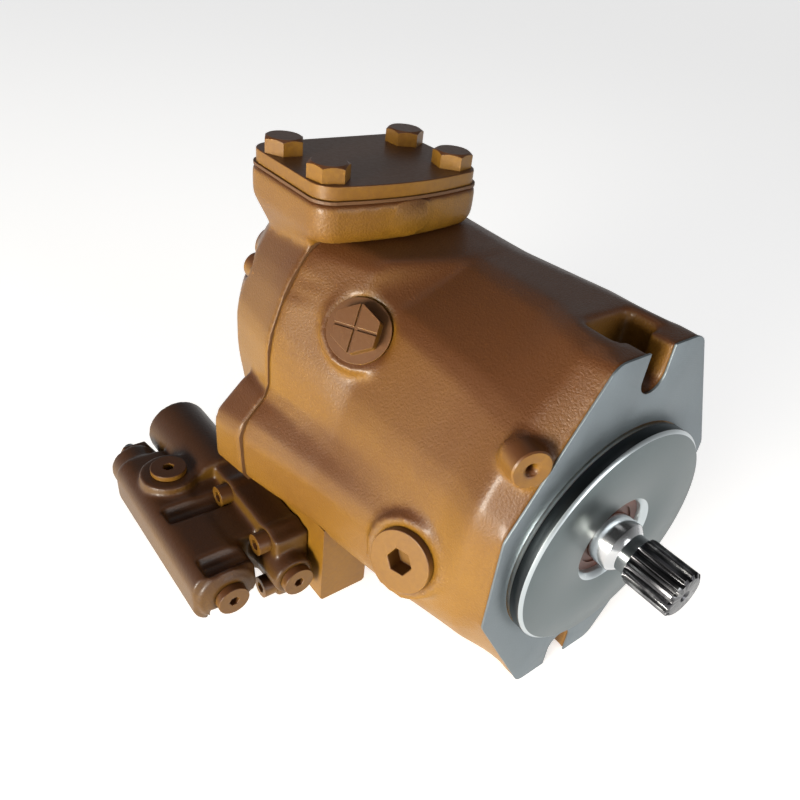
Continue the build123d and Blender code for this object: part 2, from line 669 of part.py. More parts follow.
# ================================================================ shaft
def spline_tooth_cut(r_tip, depth, teeth, y0, y1, i):
    """One groove between two teeth, a tapered slot open to the outside."""
    half = math.pi * r_tip / teeth * 0.52
    root = half * 0.55
    pts = [(-root, r_tip - depth), (root, r_tip - depth), (half, r_tip + 0.6), (-half, r_tip + 0.6)]
    a = 2 * math.pi * i / teeth
    c, s = math.cos(a), math.sin(a)
    ring = [(x * c - z * s, x * s + z * c) for x, z in pts]
    return prism_y(ring, y0, y1)


def make_shaft():
    y_spline = SHAFT_END_Y + SPLINE_L
    spline = cyl_y(SPLINE_R, SHAFT_END_Y, y_spline)
    spline = chamfer(spline.edges().sort_by(Axis.Y)[0], 1.2)
    for i in range(SPLINE_TEETH):
        spline -= spline_tooth_cut(SPLINE_R, SPLINE_DEPTH, SPLINE_TEETH, SHAFT_END_Y - 1, y_spline - 1.5, i)
    y_neck = y_spline + NECK_L
    shaft = spline + cyl_y(NECK_R, y_spline, y_neck)
    shaft += cone_y(NECK_R, SEAL_R, y_neck, y_neck + 3)
    shaft += cyl_y(SEAL_R, y_neck + 3, BRG_Y - 2)
    shaft += cyl_y(BRG_BORE_R, BRG_Y - 2, BRG_Y1)
    shaft += cyl_y(SHAFT_MID_R, BRG_Y1, SWASH_BACK_Y)
    shaft += cyl_y(SHAFT_DRIVE_R, SWASH_BACK_Y, BLOCK_Y1 - 2)
    shaft += cyl_y(REAR_JOURNAL_R, BLOCK_Y1 - 2, SHAFT_REAR_Y)
    shaft -= cone_y(3.2, 0.4, SHAFT_END_Y - 0.01, SHAFT_END_Y + 4.5)
    shaft -= cyl_y(1.6, SHAFT_END_Y - 1, SHAFT_END_Y + 8)
    return only_solid(shaft)


def make_seal():
    """Lip seal: outer case, web and lip, with a small gap to the journal."""
    y0 = PILOT_Y + SEAL_SETBACK
    y1 = y0 + SEAL_T
    s = cyl_y(SEAL_HOUSING_R, y0, y1) - cyl_y(SEAL_R + 3.6, y0 - 1, y1 + 1)
    s += cyl_y(SEAL_R + 4.2, y0 + 1.0, y0 + 3.0) - cyl_y(SEAL_R + 0.05, y0 - 1, y1 + 1)
    s += cone_y(SEAL_R + 0.9, SEAL_R + 2.4, y0 + 2.5, y1 - 1) - cyl_y(SEAL_R + 0.05, y0 - 1, y1 + 1)
    return only_solid(s)


def make_bearing_cup():
    r_track = BRG_BORE_R + 4.2 + 2 * ROLLER_R + 2 * RUN_CLEAR
    ring = cyl_y(BRG_OUTER_R, BRG_Y, BRG_Y1) - cyl_y(r_track, BRG_Y - 1, BRG_Y1 + 1)
    return ring


def make_bearing_cone():
    ring = cyl_y(BRG_BORE_R + 4.2, BRG_Y, BRG_Y1) - cyl_y(BRG_BORE_R, BRG_Y - 1, BRG_Y1 + 1)
    return ring


def make_bearing_rollers():
    r = BRG_BORE_R + 4.2 + ROLLER_R + RUN_CLEAR
    return group([cyl_y(ROLLER_R, BRG_Y + 1.5, BRG_Y1 - 1.5, x, z) for x, z in polar(ROLLERS, r)])


def make_needle_shell():
    r_track = REAR_JOURNAL_R + 2 * NEEDLE_R + 2 * RUN_CLEAR
    return cyl_y(NEEDLE_SHELL_R, NEEDLE_Y0, NEEDLE_Y0 + NEEDLE_L + 2) - cyl_y(
        r_track, NEEDLE_Y0 - 1, NEEDLE_Y0 + NEEDLE_L + 3)


def make_needles():
    r = REAR_JOURNAL_R + NEEDLE_R + RUN_CLEAR
    return group([cyl_y(NEEDLE_R, NEEDLE_Y0 + 1, NEEDLE_Y0 + NEEDLE_L + 1, x, z)
                  for x, z in polar(NEEDLE_COUNT, r)])


# ================================================================ rotating group
def make_block():
    body = cyl_y(BLOCK_R, BLOCK_Y0, BLOCK_Y1)
    body = chamfer(body.edges().sort_by(Axis.Y)[0], 2.0)
    body -= cyl_y(SHAFT_DRIVE_R, BLOCK_Y0 - 1, BLOCK_Y1 + 1)
    for i, (x, z) in enumerate(polar(PISTONS, PISTON_PITCH_R, 90)):
        body -= cyl_y(PISTON_R + RUN_CLEAR, BLOCK_Y0 - 1, BLOCK_BORE_END, x, z)
        a = 90 + PITCH_ANGLE * i
        body -= kidney(PISTON_PITCH_R, 7.0, a - 8, a + 8, BLOCK_BORE_END - 1, BLOCK_Y1 + 1)
    return only_solid(body)


def make_piston(i):
    x, z = polar(PISTONS, PISTON_PITCH_R, 90)[i]
    p = Pos(x, BALL_Y, z) * Sphere(BALL_R)
    p += cyl_y(BALL_R * 0.72, BALL_Y, PISTON_Y0 + 1, x, z)
    p += cyl_y(PISTON_R, PISTON_Y0, PISTON_Y0 + PISTON_L, x, z)
    p -= cyl_y(PISTON_BORE_R, PISTON_Y0 + 12, PISTON_Y0 + PISTON_L + 1, x, z)
    p -= cyl_y(1.0, BALL_Y - BALL_R - 1, PISTON_Y0 + 14, x, z)
    return only_solid(p)


def make_slipper(i):
    """Foot, neck and open half socket under the piston's ball."""
    x, z = polar(PISTONS, PISTON_PITCH_R, 90)[i]
    y0 = SWASH_FACE_Y
    s = cyl_y(SLIPPER_R, y0 + 0.02, y0 + SLIPPER_FOOT_T, x, z)
    s += cyl_y(SLIPPER_NECK_R, y0 + SLIPPER_FOOT_T, BALL_Y, x, z)
    s -= Pos(x, BALL_Y, z) * Sphere(BALL_R + BALL_CLEAR)
    s -= cyl_y(6.5, y0 - 1, y0 + 0.8, x, z)
    s -= cyl_y(0.8, y0 - 1, BALL_Y, x, z)
    return only_solid(s)


def make_retainer():
    """Plate that holds the slipper feet; its bore runs on the ball guide."""
    y0 = SWASH_FACE_Y + SLIPPER_FOOT_T + 0.05
    y1 = y0 + RETAINER_T
    plate = cyl_y(RETAINER_R, y0, y1)
    for x, z in polar(PISTONS, PISTON_PITCH_R, 90):
        plate -= cyl_y(SLIPPER_NECK_R + 0.15, y0 - 1, y1 + 1, x, z)
    plate -= Pos(0, BALL_Y, 0) * Sphere(GUIDE_R + RUN_CLEAR)
    return only_solid(plate)


def make_ball_guide():
    g = Pos(0, BALL_Y, 0) * Sphere(GUIDE_R)
    g = g & block(-40, 40, BALL_Y - 11, BALL_Y + 9, -40, 40)
    g += cyl_y(SHAFT_DRIVE_R + 4, BALL_Y + 8, BLOCK_Y0 - 0.5)
    g -= cyl_y(SHAFT_DRIVE_R, BALL_Y - 40, BALL_Y + 40)
    return only_solid(g)


def make_valve_plate():
    p = cyl_y(BLOCK_R, BLOCK_Y1 + 0.02, JOINT_Y + GASKET_T)
    p -= cyl_y(REAR_JOURNAL_R + 6, BLOCK_Y1 - 1, JOINT_Y + 2)
    p -= kidney(PISTON_PITCH_R, KIDNEY_W, 25, 155, BLOCK_Y1 - 1, JOINT_Y + 2)
    for a in (208, 241, 274, 307):
        p -= kidney(PISTON_PITCH_R, KIDNEY_W, a, a + 24, BLOCK_Y1 - 1, JOINT_Y + 2)
    return only_solid(p)


# ================================================================ swash plate
def make_swash():
    disc = cyl_y(SWASH_R, SWASH_BACK_Y, SWASH_FACE_Y)
    body = disc
    for s in (1, -1):
        z0, z1 = sorted((s * RUNNER_Z0, s * RUNNER_Z1))
        seg = cyl_z(CRADLE_R, z0, z1, 0, BALL_Y)
        seg = seg & block(-99, 99, 0, SWASH_BACK_Y + 0.01, z0 - 1, z1 + 1)
        body += seg
    z0, z1 = ARM_Z - ARM_HALF_H, ARM_Z + ARM_HALF_H
    body += block(-STROKE_X - ARM_OVER, BIAS_X + ARM_OVER, ARM_FACE_Y - ARM_T, ARM_FACE_Y, z0, z1)
    body -= cyl_y(SWASH_HOLE_R, 0, BALL_Y)
    return only_solid(body)


def make_cradle_shell(s):
    z0, z1 = sorted((s * RUNNER_Z0, s * RUNNER_Z1))
    ring = cyl_z(CRADLE_R + CRADLE_SHELL_T, z0, z1, 0, BALL_Y) - cyl_z(
        CRADLE_R + RUN_CLEAR, z0 - 1, z1 + 1, 0, BALL_Y)
    return only_solid(ring & block(-99, 99, 0, SADDLE_TOP, z0 - 1, z1 + 1))


def round_nose_piston(x, z, y_nose, r, length):
    """Piston along Y with a ball nose at its -Y end, nose centre at y_nose."""
    p = Pos(x, y_nose, z) * Sphere(NOSE_R)
    p += cyl_y(NOSE_R * 0.8, y_nose, y_nose + 17, x, z)
    p += cyl_y(r, y_nose + 16, y_nose + 16 + length, x, z)
    return p


def make_stroking_piston():
    p = round_nose_piston(-STROKE_X, ARM_Z, NOSE_Y, STROKE_R, STROKE_L)
    p -= cyl_y(STROKE_R - 4, NOSE_Y + 24, NOSE_Y + 80, -STROKE_X, ARM_Z)
    return only_solid(p)


def make_bias_piston():
    p = round_nose_piston(BIAS_X, ARM_Z, NOSE_Y, BIAS_R, BIAS_L)
    p -= cyl_y(BIAS_R - 2.5, NOSE_Y + 24, NOSE_Y + 60, BIAS_X, ARM_Z)
    return only_solid(p)


def coil(r, wire, y0, y1, turns, x, z):
    """Compression spring: one swept wire along Y."""
    h = y1 - y0 - 2 * wire
    path = Helix(pitch=h / turns, height=h, radius=r)
    profile = Plane(origin=path @ 0, z_dir=path % 0) * Circle(wire)
    spring = sweep(profile, path=path, is_frenet=True)
    return Pos(x, y0 + wire, z) * Rot(-90, 0, 0) * spring


def make_bias_spring():
    y0 = NOSE_Y + 24
    return coil(BIAS_R - 2.5 - BIAS_WIRE_R - 0.2, BIAS_WIRE_R, y0, PORT_Y0 - 0.05, 9, BIAS_X, ARM_Z)


# ================================================================ control valve
def make_adapter():
    b = block(ADAPTER_X, ADAPTER_IN_X, ADAPTER_Y0, ADAPTER_Y1, ADAPTER_Z0, ADAPTER_Z1)
    b = chamfer(b.edges().filter_by(Axis.Y).sort_by(Axis.Z)[0:2], 1.5)
    for y, z in SCREW_AT:
        b -= cyl_x(SCREW_R, ADAPTER_X - 1, ADAPTER_IN_X + 1, y, z)
    for y in (JOINT_Y - 15, JOINT_Y - 7):
        b -= cyl_x(2.5, ADAPTER_X - 1, ADAPTER_IN_X + 1, y, -72)
    return only_solid(b)


def valve_outer():
    face_x = ADAPTER_X
    ax, az = SPOOL_A
    bx, bz = SPOOL_B
    main = block(VALVE_LEFT, ax + 18, VALVE_Y0 + 5, VALVE_Y1, VALVE_BOTTOM, VALVE_TOP)
    main = fillet(main.edges().filter_by(Axis.Y), 11)
    body = main + cyl_y(17, VALVE_Y0 + 2, VALVE_Y1, ax, az)
    body += cyl_y(13, VALVE_Y0, VALVE_Y0 + 4, ax, az)
    body += block(ax + 4, bx - 3, VALVE_Y0 + 23, VALVE_Y1 - 12, VALVE_BOTTOM + 3, VALVE_TOP - 1)
    body += block(bx - 7, face_x, ADAPTER_Y0 + 15, ADAPTER_Y1 - 2, -94, -53)
    body += cyl_y(12, FLOW_Y0, ADAPTER_Y1, bx, bz)
    body += cyl_y(LOBE_B_R, ADAPTER_Y1, LOBE_B_END, bx - 2, bz + 6)
    body += block(bx - 19, bx + 12, ADAPTER_Y1 - 6, VALVE_Y1 - 2, bz - 13, bz + 6)
    body += cyl_y(14.5, VALVE_Y1 - 6, LOBE_A_END, ax - 3, az + 1)
    for y, z in SCREW_AT:
        body += cyl_x(EAR_R, EAR_X, face_x, y, z)
    tx, ty = TOP_BOSS
    body += cyl_z(TOP_BOSS_R, VALVE_TOP - 18, VALVE_TOP + TOP_BOSS_H, tx, ty)
    return body


def spool_cavity(x, z, y_front, y_bore_end, y_end):
    cav = cyl_y(SPOOL_R, y_front, y_bore_end, x, z)
    cav += cyl_y(SPRING_CHAMBER_R, y_bore_end, y_end, x, z)
    return cav


def make_valve_body():
    body = valve_outer()
    ax, az = SPOOL_A
    bx, bz = SPOOL_B
    for at, y_front, y_end in spool_lines():
        x, z = at
        body -= spool_cavity(x, z, y_front - 4, spool_end(y_front), y_end - CAP_L + 1)
        body -= cyl_y(CAP_R, y_end - CAP_L, y_end + 1, x, z)
        body -= cyl_y(VALVE_PLUG_R - 2, y_front - 4, y_front + VALVE_PLUG_L, x, z)
    tx, ty = TOP_BOSS
    body -= cyl_z(TOP_PLUG_R - 2, VALVE_TOP - 6, VALVE_TOP + TOP_BOSS_H + 1, tx, ty)
    for y, z in SCREW_AT:
        body -= cyl_x(SCREW_R, EAR_X - 30, ADAPTER_X + 1, y, z)
        body -= cyl_x(SCREW_HEAD_R + 0.6, EAR_X - 40, EAR_X, y, z)
    return only_solid(body)


def spool_lines():
    """Axis, front face and rear end of the pressure line and the flow line."""
    return ((SPOOL_A, VALVE_Y0, LOBE_A_END), (SPOOL_B, FLOW_Y0, LOBE_B_END))


def spool_end(y_front):
    """Where the spool bore opens into the spring chamber."""
    return y_front + SPOOL_SETBACK + SPOOL_L + SPOOL_STUB


def make_spool(at, y_front):
    """Spool with two grooves and a spring flange on its rear stub."""
    x, z = at
    y0 = y_front + SPOOL_SETBACK
    y1 = y0 + SPOOL_L
    s = cyl_y(SPOOL_R - RUN_CLEAR, y0, y1, x, z)
    for k in (0.28, 0.58):
        yc = y0 + SPOOL_L * k
        s -= cyl_y(SPOOL_R + 1, yc, yc + 9, x, z) - cyl_y(SPOOL_R - 2, yc - 1, yc + 10, x, z)
    s += cyl_y(SPOOL_R - 1.5, y1, y1 + SPOOL_STUB + 1, x, z)
    s += cyl_y(SPRING_PLATE_R, spool_end(y_front) + 0.05, spring_start(y_front) - 0.05, x, z)
    return only_solid(s)


def spring_start(y_front):
    return spool_end(y_front) + SPOOL_FLANGE_T


def make_valve_spring(at, y_front):
    x, z = at
    y0 = spring_start(y_front)
    return coil(5.6, 1.1, y0, y0 + SPRING_L, 6, x, z)


def make_spring_plate(at, y_front):
    """Plate between the spring and the adjusting screw."""
    x, z = at
    y0 = spring_start(y_front) + SPRING_L + 0.05
    return cyl_y(SPRING_PLATE_R, y0, y0 + SPRING_PLATE_T, x, z)


def make_adjust_screw(at, y_front, y_end):
    """Threaded adjusting screw with a hexagon socket in its outer end."""
    x, z = at
    y0 = spring_start(y_front) + SPRING_L + SPRING_PLATE_T + 0.1
    y1 = y_end + CAP_HEX_H + LOCKNUT_H + ADJUST_OUT
    s = cyl_y(ADJUST_R, y0, y1, x, z)
    s -= Pos(x, y1 - 4, z) * Rot(-90, 0, 0) * hexagon(4.0, 6)
    return s


def make_end_caps():
    """Threaded caps that close the spring chambers and carry the adjusting screws."""
    out = []
    for (x, z), y_front, y_end in spool_lines():
        cap = cyl_y(CAP_R, y_end - CAP_L, y_end, x, z)
        cap += Pos(x, y_end, z) * Rot(-90, 0, 0) * hexagon(CAP_AF, CAP_HEX_H)
        cap -= cyl_y(ADJUST_R + RUN_CLEAR, y_end - CAP_L - 1, y_end + CAP_HEX_H + 1, x, z)
        out.append(cap)
    return group(out)


def make_locknuts():
    out = []
    for (x, z), y_front, y_end in spool_lines():
        y0 = y_end + CAP_HEX_H
        nut = Pos(x, y0, z) * Rot(-90, 0, 0) * hexagon(LOCKNUT_AF, LOCKNUT_H)
        out.append(nut - cyl_y(ADJUST_R + RUN_CLEAR, y0 - 1, y0 + 20, x, z))
    return group(out)


def make_valve_front_plugs():
    out = []
    for (x, z), y_front, y_end in spool_lines():
        p = cyl_y(VALVE_PLUG_R, y_front - VALVE_PLUG_HEAD, y_front, x, z)
        p += cyl_y(VALVE_PLUG_R - 2, y_front, y_front + VALVE_PLUG_L, x, z)
        p -= Pos(x, y_front - VALVE_PLUG_HEAD + 4, z) * Rot(90, 0, 0) * hexagon(VALVE_PLUG_HEX, 12)
        out.append(p)
    return group(out)


def make_valve_top_plug():
    x, y = TOP_BOSS
    z0 = VALVE_TOP + TOP_BOSS_H
    p = cyl_z(TOP_PLUG_R, z0, z0 + 3.5, x, y) + cyl_z(TOP_PLUG_R - 2, z0 - 8, z0, x, y)
    p -= Pos(x, y, z0 - 3) * hexagon(6.0, 12)
    return p


def make_valve_screws():
    out = []
    for y, z in SCREW_AT:
        s = cyl_x(SCREW_R, EAR_X, ADAPTER_IN_X + 12, y, z)
        s += cyl_x(SCREW_HEAD_R, EAR_X - SCREW_HEAD_L, EAR_X, y, z)
        s -= Pos(EAR_X - SCREW_HEAD_L - 1, y, z) * Rot(0, 90, 0) * hexagon(6.0, 5)
        out.append(s)
    return group(out)


# ================================================================ write the nodes
def all_nodes():
    nodes = {
        "housing": make_housing(),
        "port_block": make_port_block(),
        "port_block_gasket": make_joint_gasket(),
        "port_block_screws": make_joint_screws(),
        "suction_cover": make_cover(),
        "suction_cover_gasket": make_cover_gasket(),
        "suction_cover_bolts": make_cover_bolts(),
        "vent_plug": make_vent_plug(),
        "drain_plug": make_drain_plug(),
        "rear_plug": make_rear_plug(),
        "drive_shaft": make_shaft(),
        "shaft_seal": make_seal(),
        "front_bearing_cup": make_bearing_cup(),
        "front_bearing_cone": make_bearing_cone(),
        "front_bearing_rollers": make_bearing_rollers(),
        "rear_bearing_shell": make_needle_shell(),
        "rear_bearing_needles": make_needles(),
        "cylinder_block": make_block(),
        "retainer_plate": make_retainer(),
        "ball_guide": make_ball_guide(),
        "valve_plate": make_valve_plate(),
        "swash_plate": make_swash(),
        "cradle_bearing_upper": make_cradle_shell(1),
        "cradle_bearing_lower": make_cradle_shell(-1),
        "stroking_piston": make_stroking_piston(),
        "bias_piston": make_bias_piston(),
        "bias_spring": make_bias_spring(),
        "adapter_block": make_adapter(),
        "valve_body": make_valve_body(),
        "valve_screws": make_valve_screws(),
        "valve_front_plugs": make_valve_front_plugs(),
        "valve_top_plug": make_valve_top_plug(),
        "pressure_spool": make_spool(SPOOL_A, VALVE_Y0),
        "flow_spool": make_spool(SPOOL_B, FLOW_Y0),
        "pressure_spring": make_valve_spring(SPOOL_A, VALVE_Y0),
        "flow_spring": make_valve_spring(SPOOL_B, FLOW_Y0),
        "pressure_spring_plate": make_spring_plate(SPOOL_A, VALVE_Y0),
        "flow_spring_plate": make_spring_plate(SPOOL_B, FLOW_Y0),
        "valve_end_caps": make_end_caps(),
        "adjuster_locknuts": make_locknuts(),
        "pressure_adjuster": make_adjust_screw(SPOOL_A, VALVE_Y0, LOBE_A_END),
        "flow_adjuster": make_adjust_screw(SPOOL_B, FLOW_Y0, LOBE_B_END),
    }
    for i in range(PISTONS):
        nodes["piston_%d" % (i + 1)] = make_piston(i)
        nodes["slipper_%d" % (i + 1)] = make_slipper(i)
    return nodes


os.makedirs("parts", exist_ok=True)
for name, shape in all_nodes().items():
    export_step(shape, os.path.join("parts", name + ".step"))
    print(name, len(shape.solids()), round(shape.volume))
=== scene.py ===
# %% [markdown]
# # A hydraulic pump from its CAD frame
# An axial piston pump is two iron castings, a splined steel shaft and a bolted control
# valve. The exact solids come from the CAD frame, in metres, and this lesson gives them
# what CAD leaves out: the soft fillets of a casting, thick paint, and turned metal.
# The frame is loaded first, because every place and size below is read from it.

# %% Load the frame
import json
import math
import bpy
import bmesh
import numpy as np
from mathutils import Matrix, Vector


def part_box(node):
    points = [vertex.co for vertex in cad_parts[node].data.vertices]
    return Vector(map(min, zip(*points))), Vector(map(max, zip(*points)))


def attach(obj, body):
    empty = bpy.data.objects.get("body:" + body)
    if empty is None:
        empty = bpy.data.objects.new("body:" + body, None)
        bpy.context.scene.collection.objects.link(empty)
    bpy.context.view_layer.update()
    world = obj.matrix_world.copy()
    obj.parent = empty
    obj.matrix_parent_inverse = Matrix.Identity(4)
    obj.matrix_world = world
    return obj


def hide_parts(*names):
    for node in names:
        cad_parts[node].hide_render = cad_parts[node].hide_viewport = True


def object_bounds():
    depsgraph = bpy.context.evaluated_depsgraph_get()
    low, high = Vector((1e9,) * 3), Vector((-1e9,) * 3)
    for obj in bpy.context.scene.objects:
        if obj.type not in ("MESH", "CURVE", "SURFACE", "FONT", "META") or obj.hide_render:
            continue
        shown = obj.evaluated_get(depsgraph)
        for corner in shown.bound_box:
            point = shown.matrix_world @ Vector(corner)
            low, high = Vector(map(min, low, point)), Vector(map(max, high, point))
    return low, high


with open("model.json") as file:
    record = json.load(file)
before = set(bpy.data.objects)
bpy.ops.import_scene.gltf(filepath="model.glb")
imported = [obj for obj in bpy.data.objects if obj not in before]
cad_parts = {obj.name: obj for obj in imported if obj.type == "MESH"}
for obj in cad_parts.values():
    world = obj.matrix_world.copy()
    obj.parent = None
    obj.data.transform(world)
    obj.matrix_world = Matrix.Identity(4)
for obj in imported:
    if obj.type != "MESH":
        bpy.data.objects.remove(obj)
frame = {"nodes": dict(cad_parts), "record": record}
CAD_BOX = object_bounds()
MM = 0.001

# %% [markdown]
# ## The camera
# The view is from the shaft's side, left of the axis and from above, and the camera is
# tilted a little. A direction from two angles and a roll says that more plainly than a
# rotation matrix would, so the three axes of the camera are worked out from the angles.

# %% Set up the camera
def camera_axes(azimuth, elevation, roll):
    """Back is (sin a cos e, -cos a cos e, sin e). Right is level, then turned by the roll."""
    a, e, r = (math.radians(x) for x in (azimuth, elevation, roll))
    back = Vector((math.sin(a) * math.cos(e), -math.cos(a) * math.cos(e), math.sin(e)))
    level = (-back).cross(Vector((0, 0, 1))).normalized()
    above = back.cross(level)
    right = level * math.cos(r) + above * math.sin(r)
    return right, back.cross(right), back


def add_camera(place, azimuth, elevation, roll, lens, shift):
    data = bpy.data.cameras.new("camera")
    data.sensor_width, data.lens = 36.0, lens
    data.shift_x, data.shift_y = shift
    data.clip_start, data.clip_end = 0.01, 50.0
    camera = bpy.data.objects.new("camera", data)
    bpy.context.scene.collection.objects.link(camera)
    turn = Matrix(camera_axes(azimuth, elevation, roll)).transposed().to_4x4()
    camera.matrix_world = Matrix.Translation(Vector(place)) @ turn
    bpy.context.scene.camera = camera
    return camera


camera = add_camera((-0.2559, -0.1339, 0.2406), -43.82, 35.59, 8.98, 32.42, (-0.038, 0.036))
print("camera at", tuple(round(c, 3) for c in camera.location))

# %% [markdown]
# ## Floor and light
# Painted iron needs large soft lights, because its gloss shows their shape. A light table
# is a pale floor that glows a little: it keeps the ground bright and lights the undersides,
# while the sky above stays dim, so the top of the pump is darker than its sides.

# %% Lay the floor and place the lights
FLOOR_Z = CAD_BOX[0].z - 0.6 * MM


def plain_material(name, colour, roughness=0.6, glow=0.0):
    material = bpy.data.materials.new(name)
    material.use_nodes = True
    surface = material.node_tree.nodes["Principled BSDF"]
    surface.inputs["Base Color"].default_value = (*colour, 1)
    surface.inputs["Roughness"].default_value = roughness
    surface.inputs["Emission Color"].default_value = (*colour, 1)
    surface.inputs["Emission Strength"].default_value = glow
    return material


def add_floor(half=24.0):
    mesh = bpy.data.meshes.new("floor")
    signs = ((-1, -1), (1, -1), (1, 1), (-1, 1))
    mesh.from_pydata([(half * x, half * y, FLOOR_Z) for x, y in signs], [], [(0, 1, 2, 3)])
    mesh.materials.append(plain_material("floor_white", (0.90, 0.90, 0.90), 0.9, 0.72))
    floor = bpy.data.objects.new("floor", mesh)
    bpy.context.scene.collection.objects.link(floor)
    return floor


def add_area_light(name, place, target, size, power, colour=(1, 1, 1)):
    data = bpy.data.lights.new(name, "AREA")
    data.shape, data.size, data.energy, data.color = "DISK", size, power, colour
    light = bpy.data.objects.new(name, data)
    light.location = place
    light.rotation_euler = (Vector(target) - Vector(place)).to_track_quat("-Z", "Y").to_euler()
    bpy.context.scene.collection.objects.link(light)
    return light


def set_sky(low, high):
    """Brightness goes from low at the horizon to high overhead, by the direction's height."""
    world = bpy.data.worlds.new("studio")
    bpy.context.scene.world = world
    world.use_nodes = True
    tree = world.node_tree
    coords = tree.nodes.new("ShaderNodeTexCoord")
    split = tree.nodes.new("ShaderNodeSeparateXYZ")
    ramp = tree.nodes.new("ShaderNodeValToRGB")
    ramp.color_ramp.elements[0].position, ramp.color_ramp.elements[1].position = 0.1, 0.75
    ramp.color_ramp.elements[0].color = (low, low, low, 1)
    ramp.color_ramp.elements[1].color = (high, high, high, 1)
    tree.links.new(coords.outputs["Generated"], split.inputs[0])
    tree.links.new(split.outputs["Z"], ramp.inputs[0])
    tree.links.new(ramp.outputs[0], tree.nodes["Background"].inputs["Color"])
    tree.nodes["Background"].inputs["Strength"].default_value = 1.0


add_floor()
TARGET = (-0.03, 0.10, 0.0)
add_area_light("key", (-1.35, -0.30, 0.12), TARGET, 0.55, 38.0, (1.0, 0.95, 0.84))
add_area_light("front", (0.25, -1.5, 0.35), TARGET, 0.9, 8.0)
add_area_light("overhead", (0.2, 0.5, 1.7), TARGET, 1.2, 2.0)
set_sky(0.50, 0.05)
bpy.context.scene.view_settings.view_transform = "Standard"
print("floor at", round(FLOOR_Z, 4))

# %% [markdown]
# ## Meshes from numpy
# A shape here is a grid of points worked out as whole arrays. These helpers turn a grid
# into faces and hand the arrays to Blender, which is quicker and clearer than adding
# vertices one by one. Doubles are merged so that seams and poles close.

# %% Turn arrays into mesh pieces
def grid_faces(rows, columns):
    """Quads between neighbouring rows; the last column joins the first."""
    r, c = np.meshgrid(np.arange(rows - 1) * columns, np.arange(columns), indexing="ij")
    n = (c + 1) % columns
    return np.stack([r + c, r + n, r + columns + n, r + columns + c], -1).reshape(-1, 4)


def piece_from(name, points, faces, crease=35.0):
    """A mesh object from point and face arrays; edges sharper than crease degrees stay crisp."""
    mesh = bpy.data.meshes.new(name)
    mesh.from_pydata(points.tolist(), [], faces.tolist())
    work = bmesh.new()
    work.from_mesh(mesh)
    bmesh.ops.remove_doubles(work, verts=work.verts, dist=1e-6)
    bmesh.ops.dissolve_degenerate(work, edges=work.edges, dist=1e-7)
    bmesh.ops.recalc_face_normals(work, faces=work.faces)
    work.to_mesh(mesh)
    work.free()
    mesh.shade_smooth()
    mesh.set_sharp_from_angle(angle=math.radians(crease))
    piece = bpy.data.objects.new(name, mesh)
    bpy.context.scene.collection.objects.link(piece)
    return piece


def points_of(mesh):
    co = np.empty(len(mesh.vertices) * 3, np.float32)
    mesh.vertices.foreach_get("co", co)
    return co.reshape(-1, 3).astype(float)


def set_points(mesh, co):
    mesh.vertices.foreach_set("co", co.astype(np.float32).ravel())
    mesh.update()


def settle(piece, body, slot, material, *nodes):
    """The piece rides on a body, takes a finish, and stands for CAD nodes."""
    piece.data.materials.clear()
    piece.data.materials.append(material)
    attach(piece, body)
    if nodes:
        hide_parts(*nodes)
    return piece

# %% [markdown]
# ## Writing shader maths as expressions
# A material that varies over a surface is a sum of patterns, and a node tree hides such a
# sum. A small class that stands for one value and overloads the operators lets the sum be
# read on one line; each operator adds the Math node that does it.

# %% A value class and a material builder
class Value:
    """One varying number in a material: +, -, * and / on it add Math nodes."""

    def __init__(self, finish, socket):
        self.finish, self.socket = finish, socket

    def _math(self, operation, *terms):
        return self.finish.value("ShaderNodeMath", {"operation": operation}, dict(enumerate(terms)))

    def __add__(self, other):
        return self._math("ADD", self, other)

    def __sub__(self, other):
        return self._math("SUBTRACT", self, other)

    def __rsub__(self, other):
        return self._math("SUBTRACT", other, self)

    def __mul__(self, other):
        return self._math("MULTIPLY", self, other)

    def __truediv__(self, other):
        return self._math("DIVIDE", self, other)

    __radd__ = __add__
    __rmul__ = __mul__

    def between(self, low, high):
        """0 below low, 1 above high and an eased step between them."""
        settings = {"interpolation_type": "SMOOTHSTEP"}
        return self.finish.value("ShaderNodeMapRange", settings, {0: self, 1: low, 2: high})


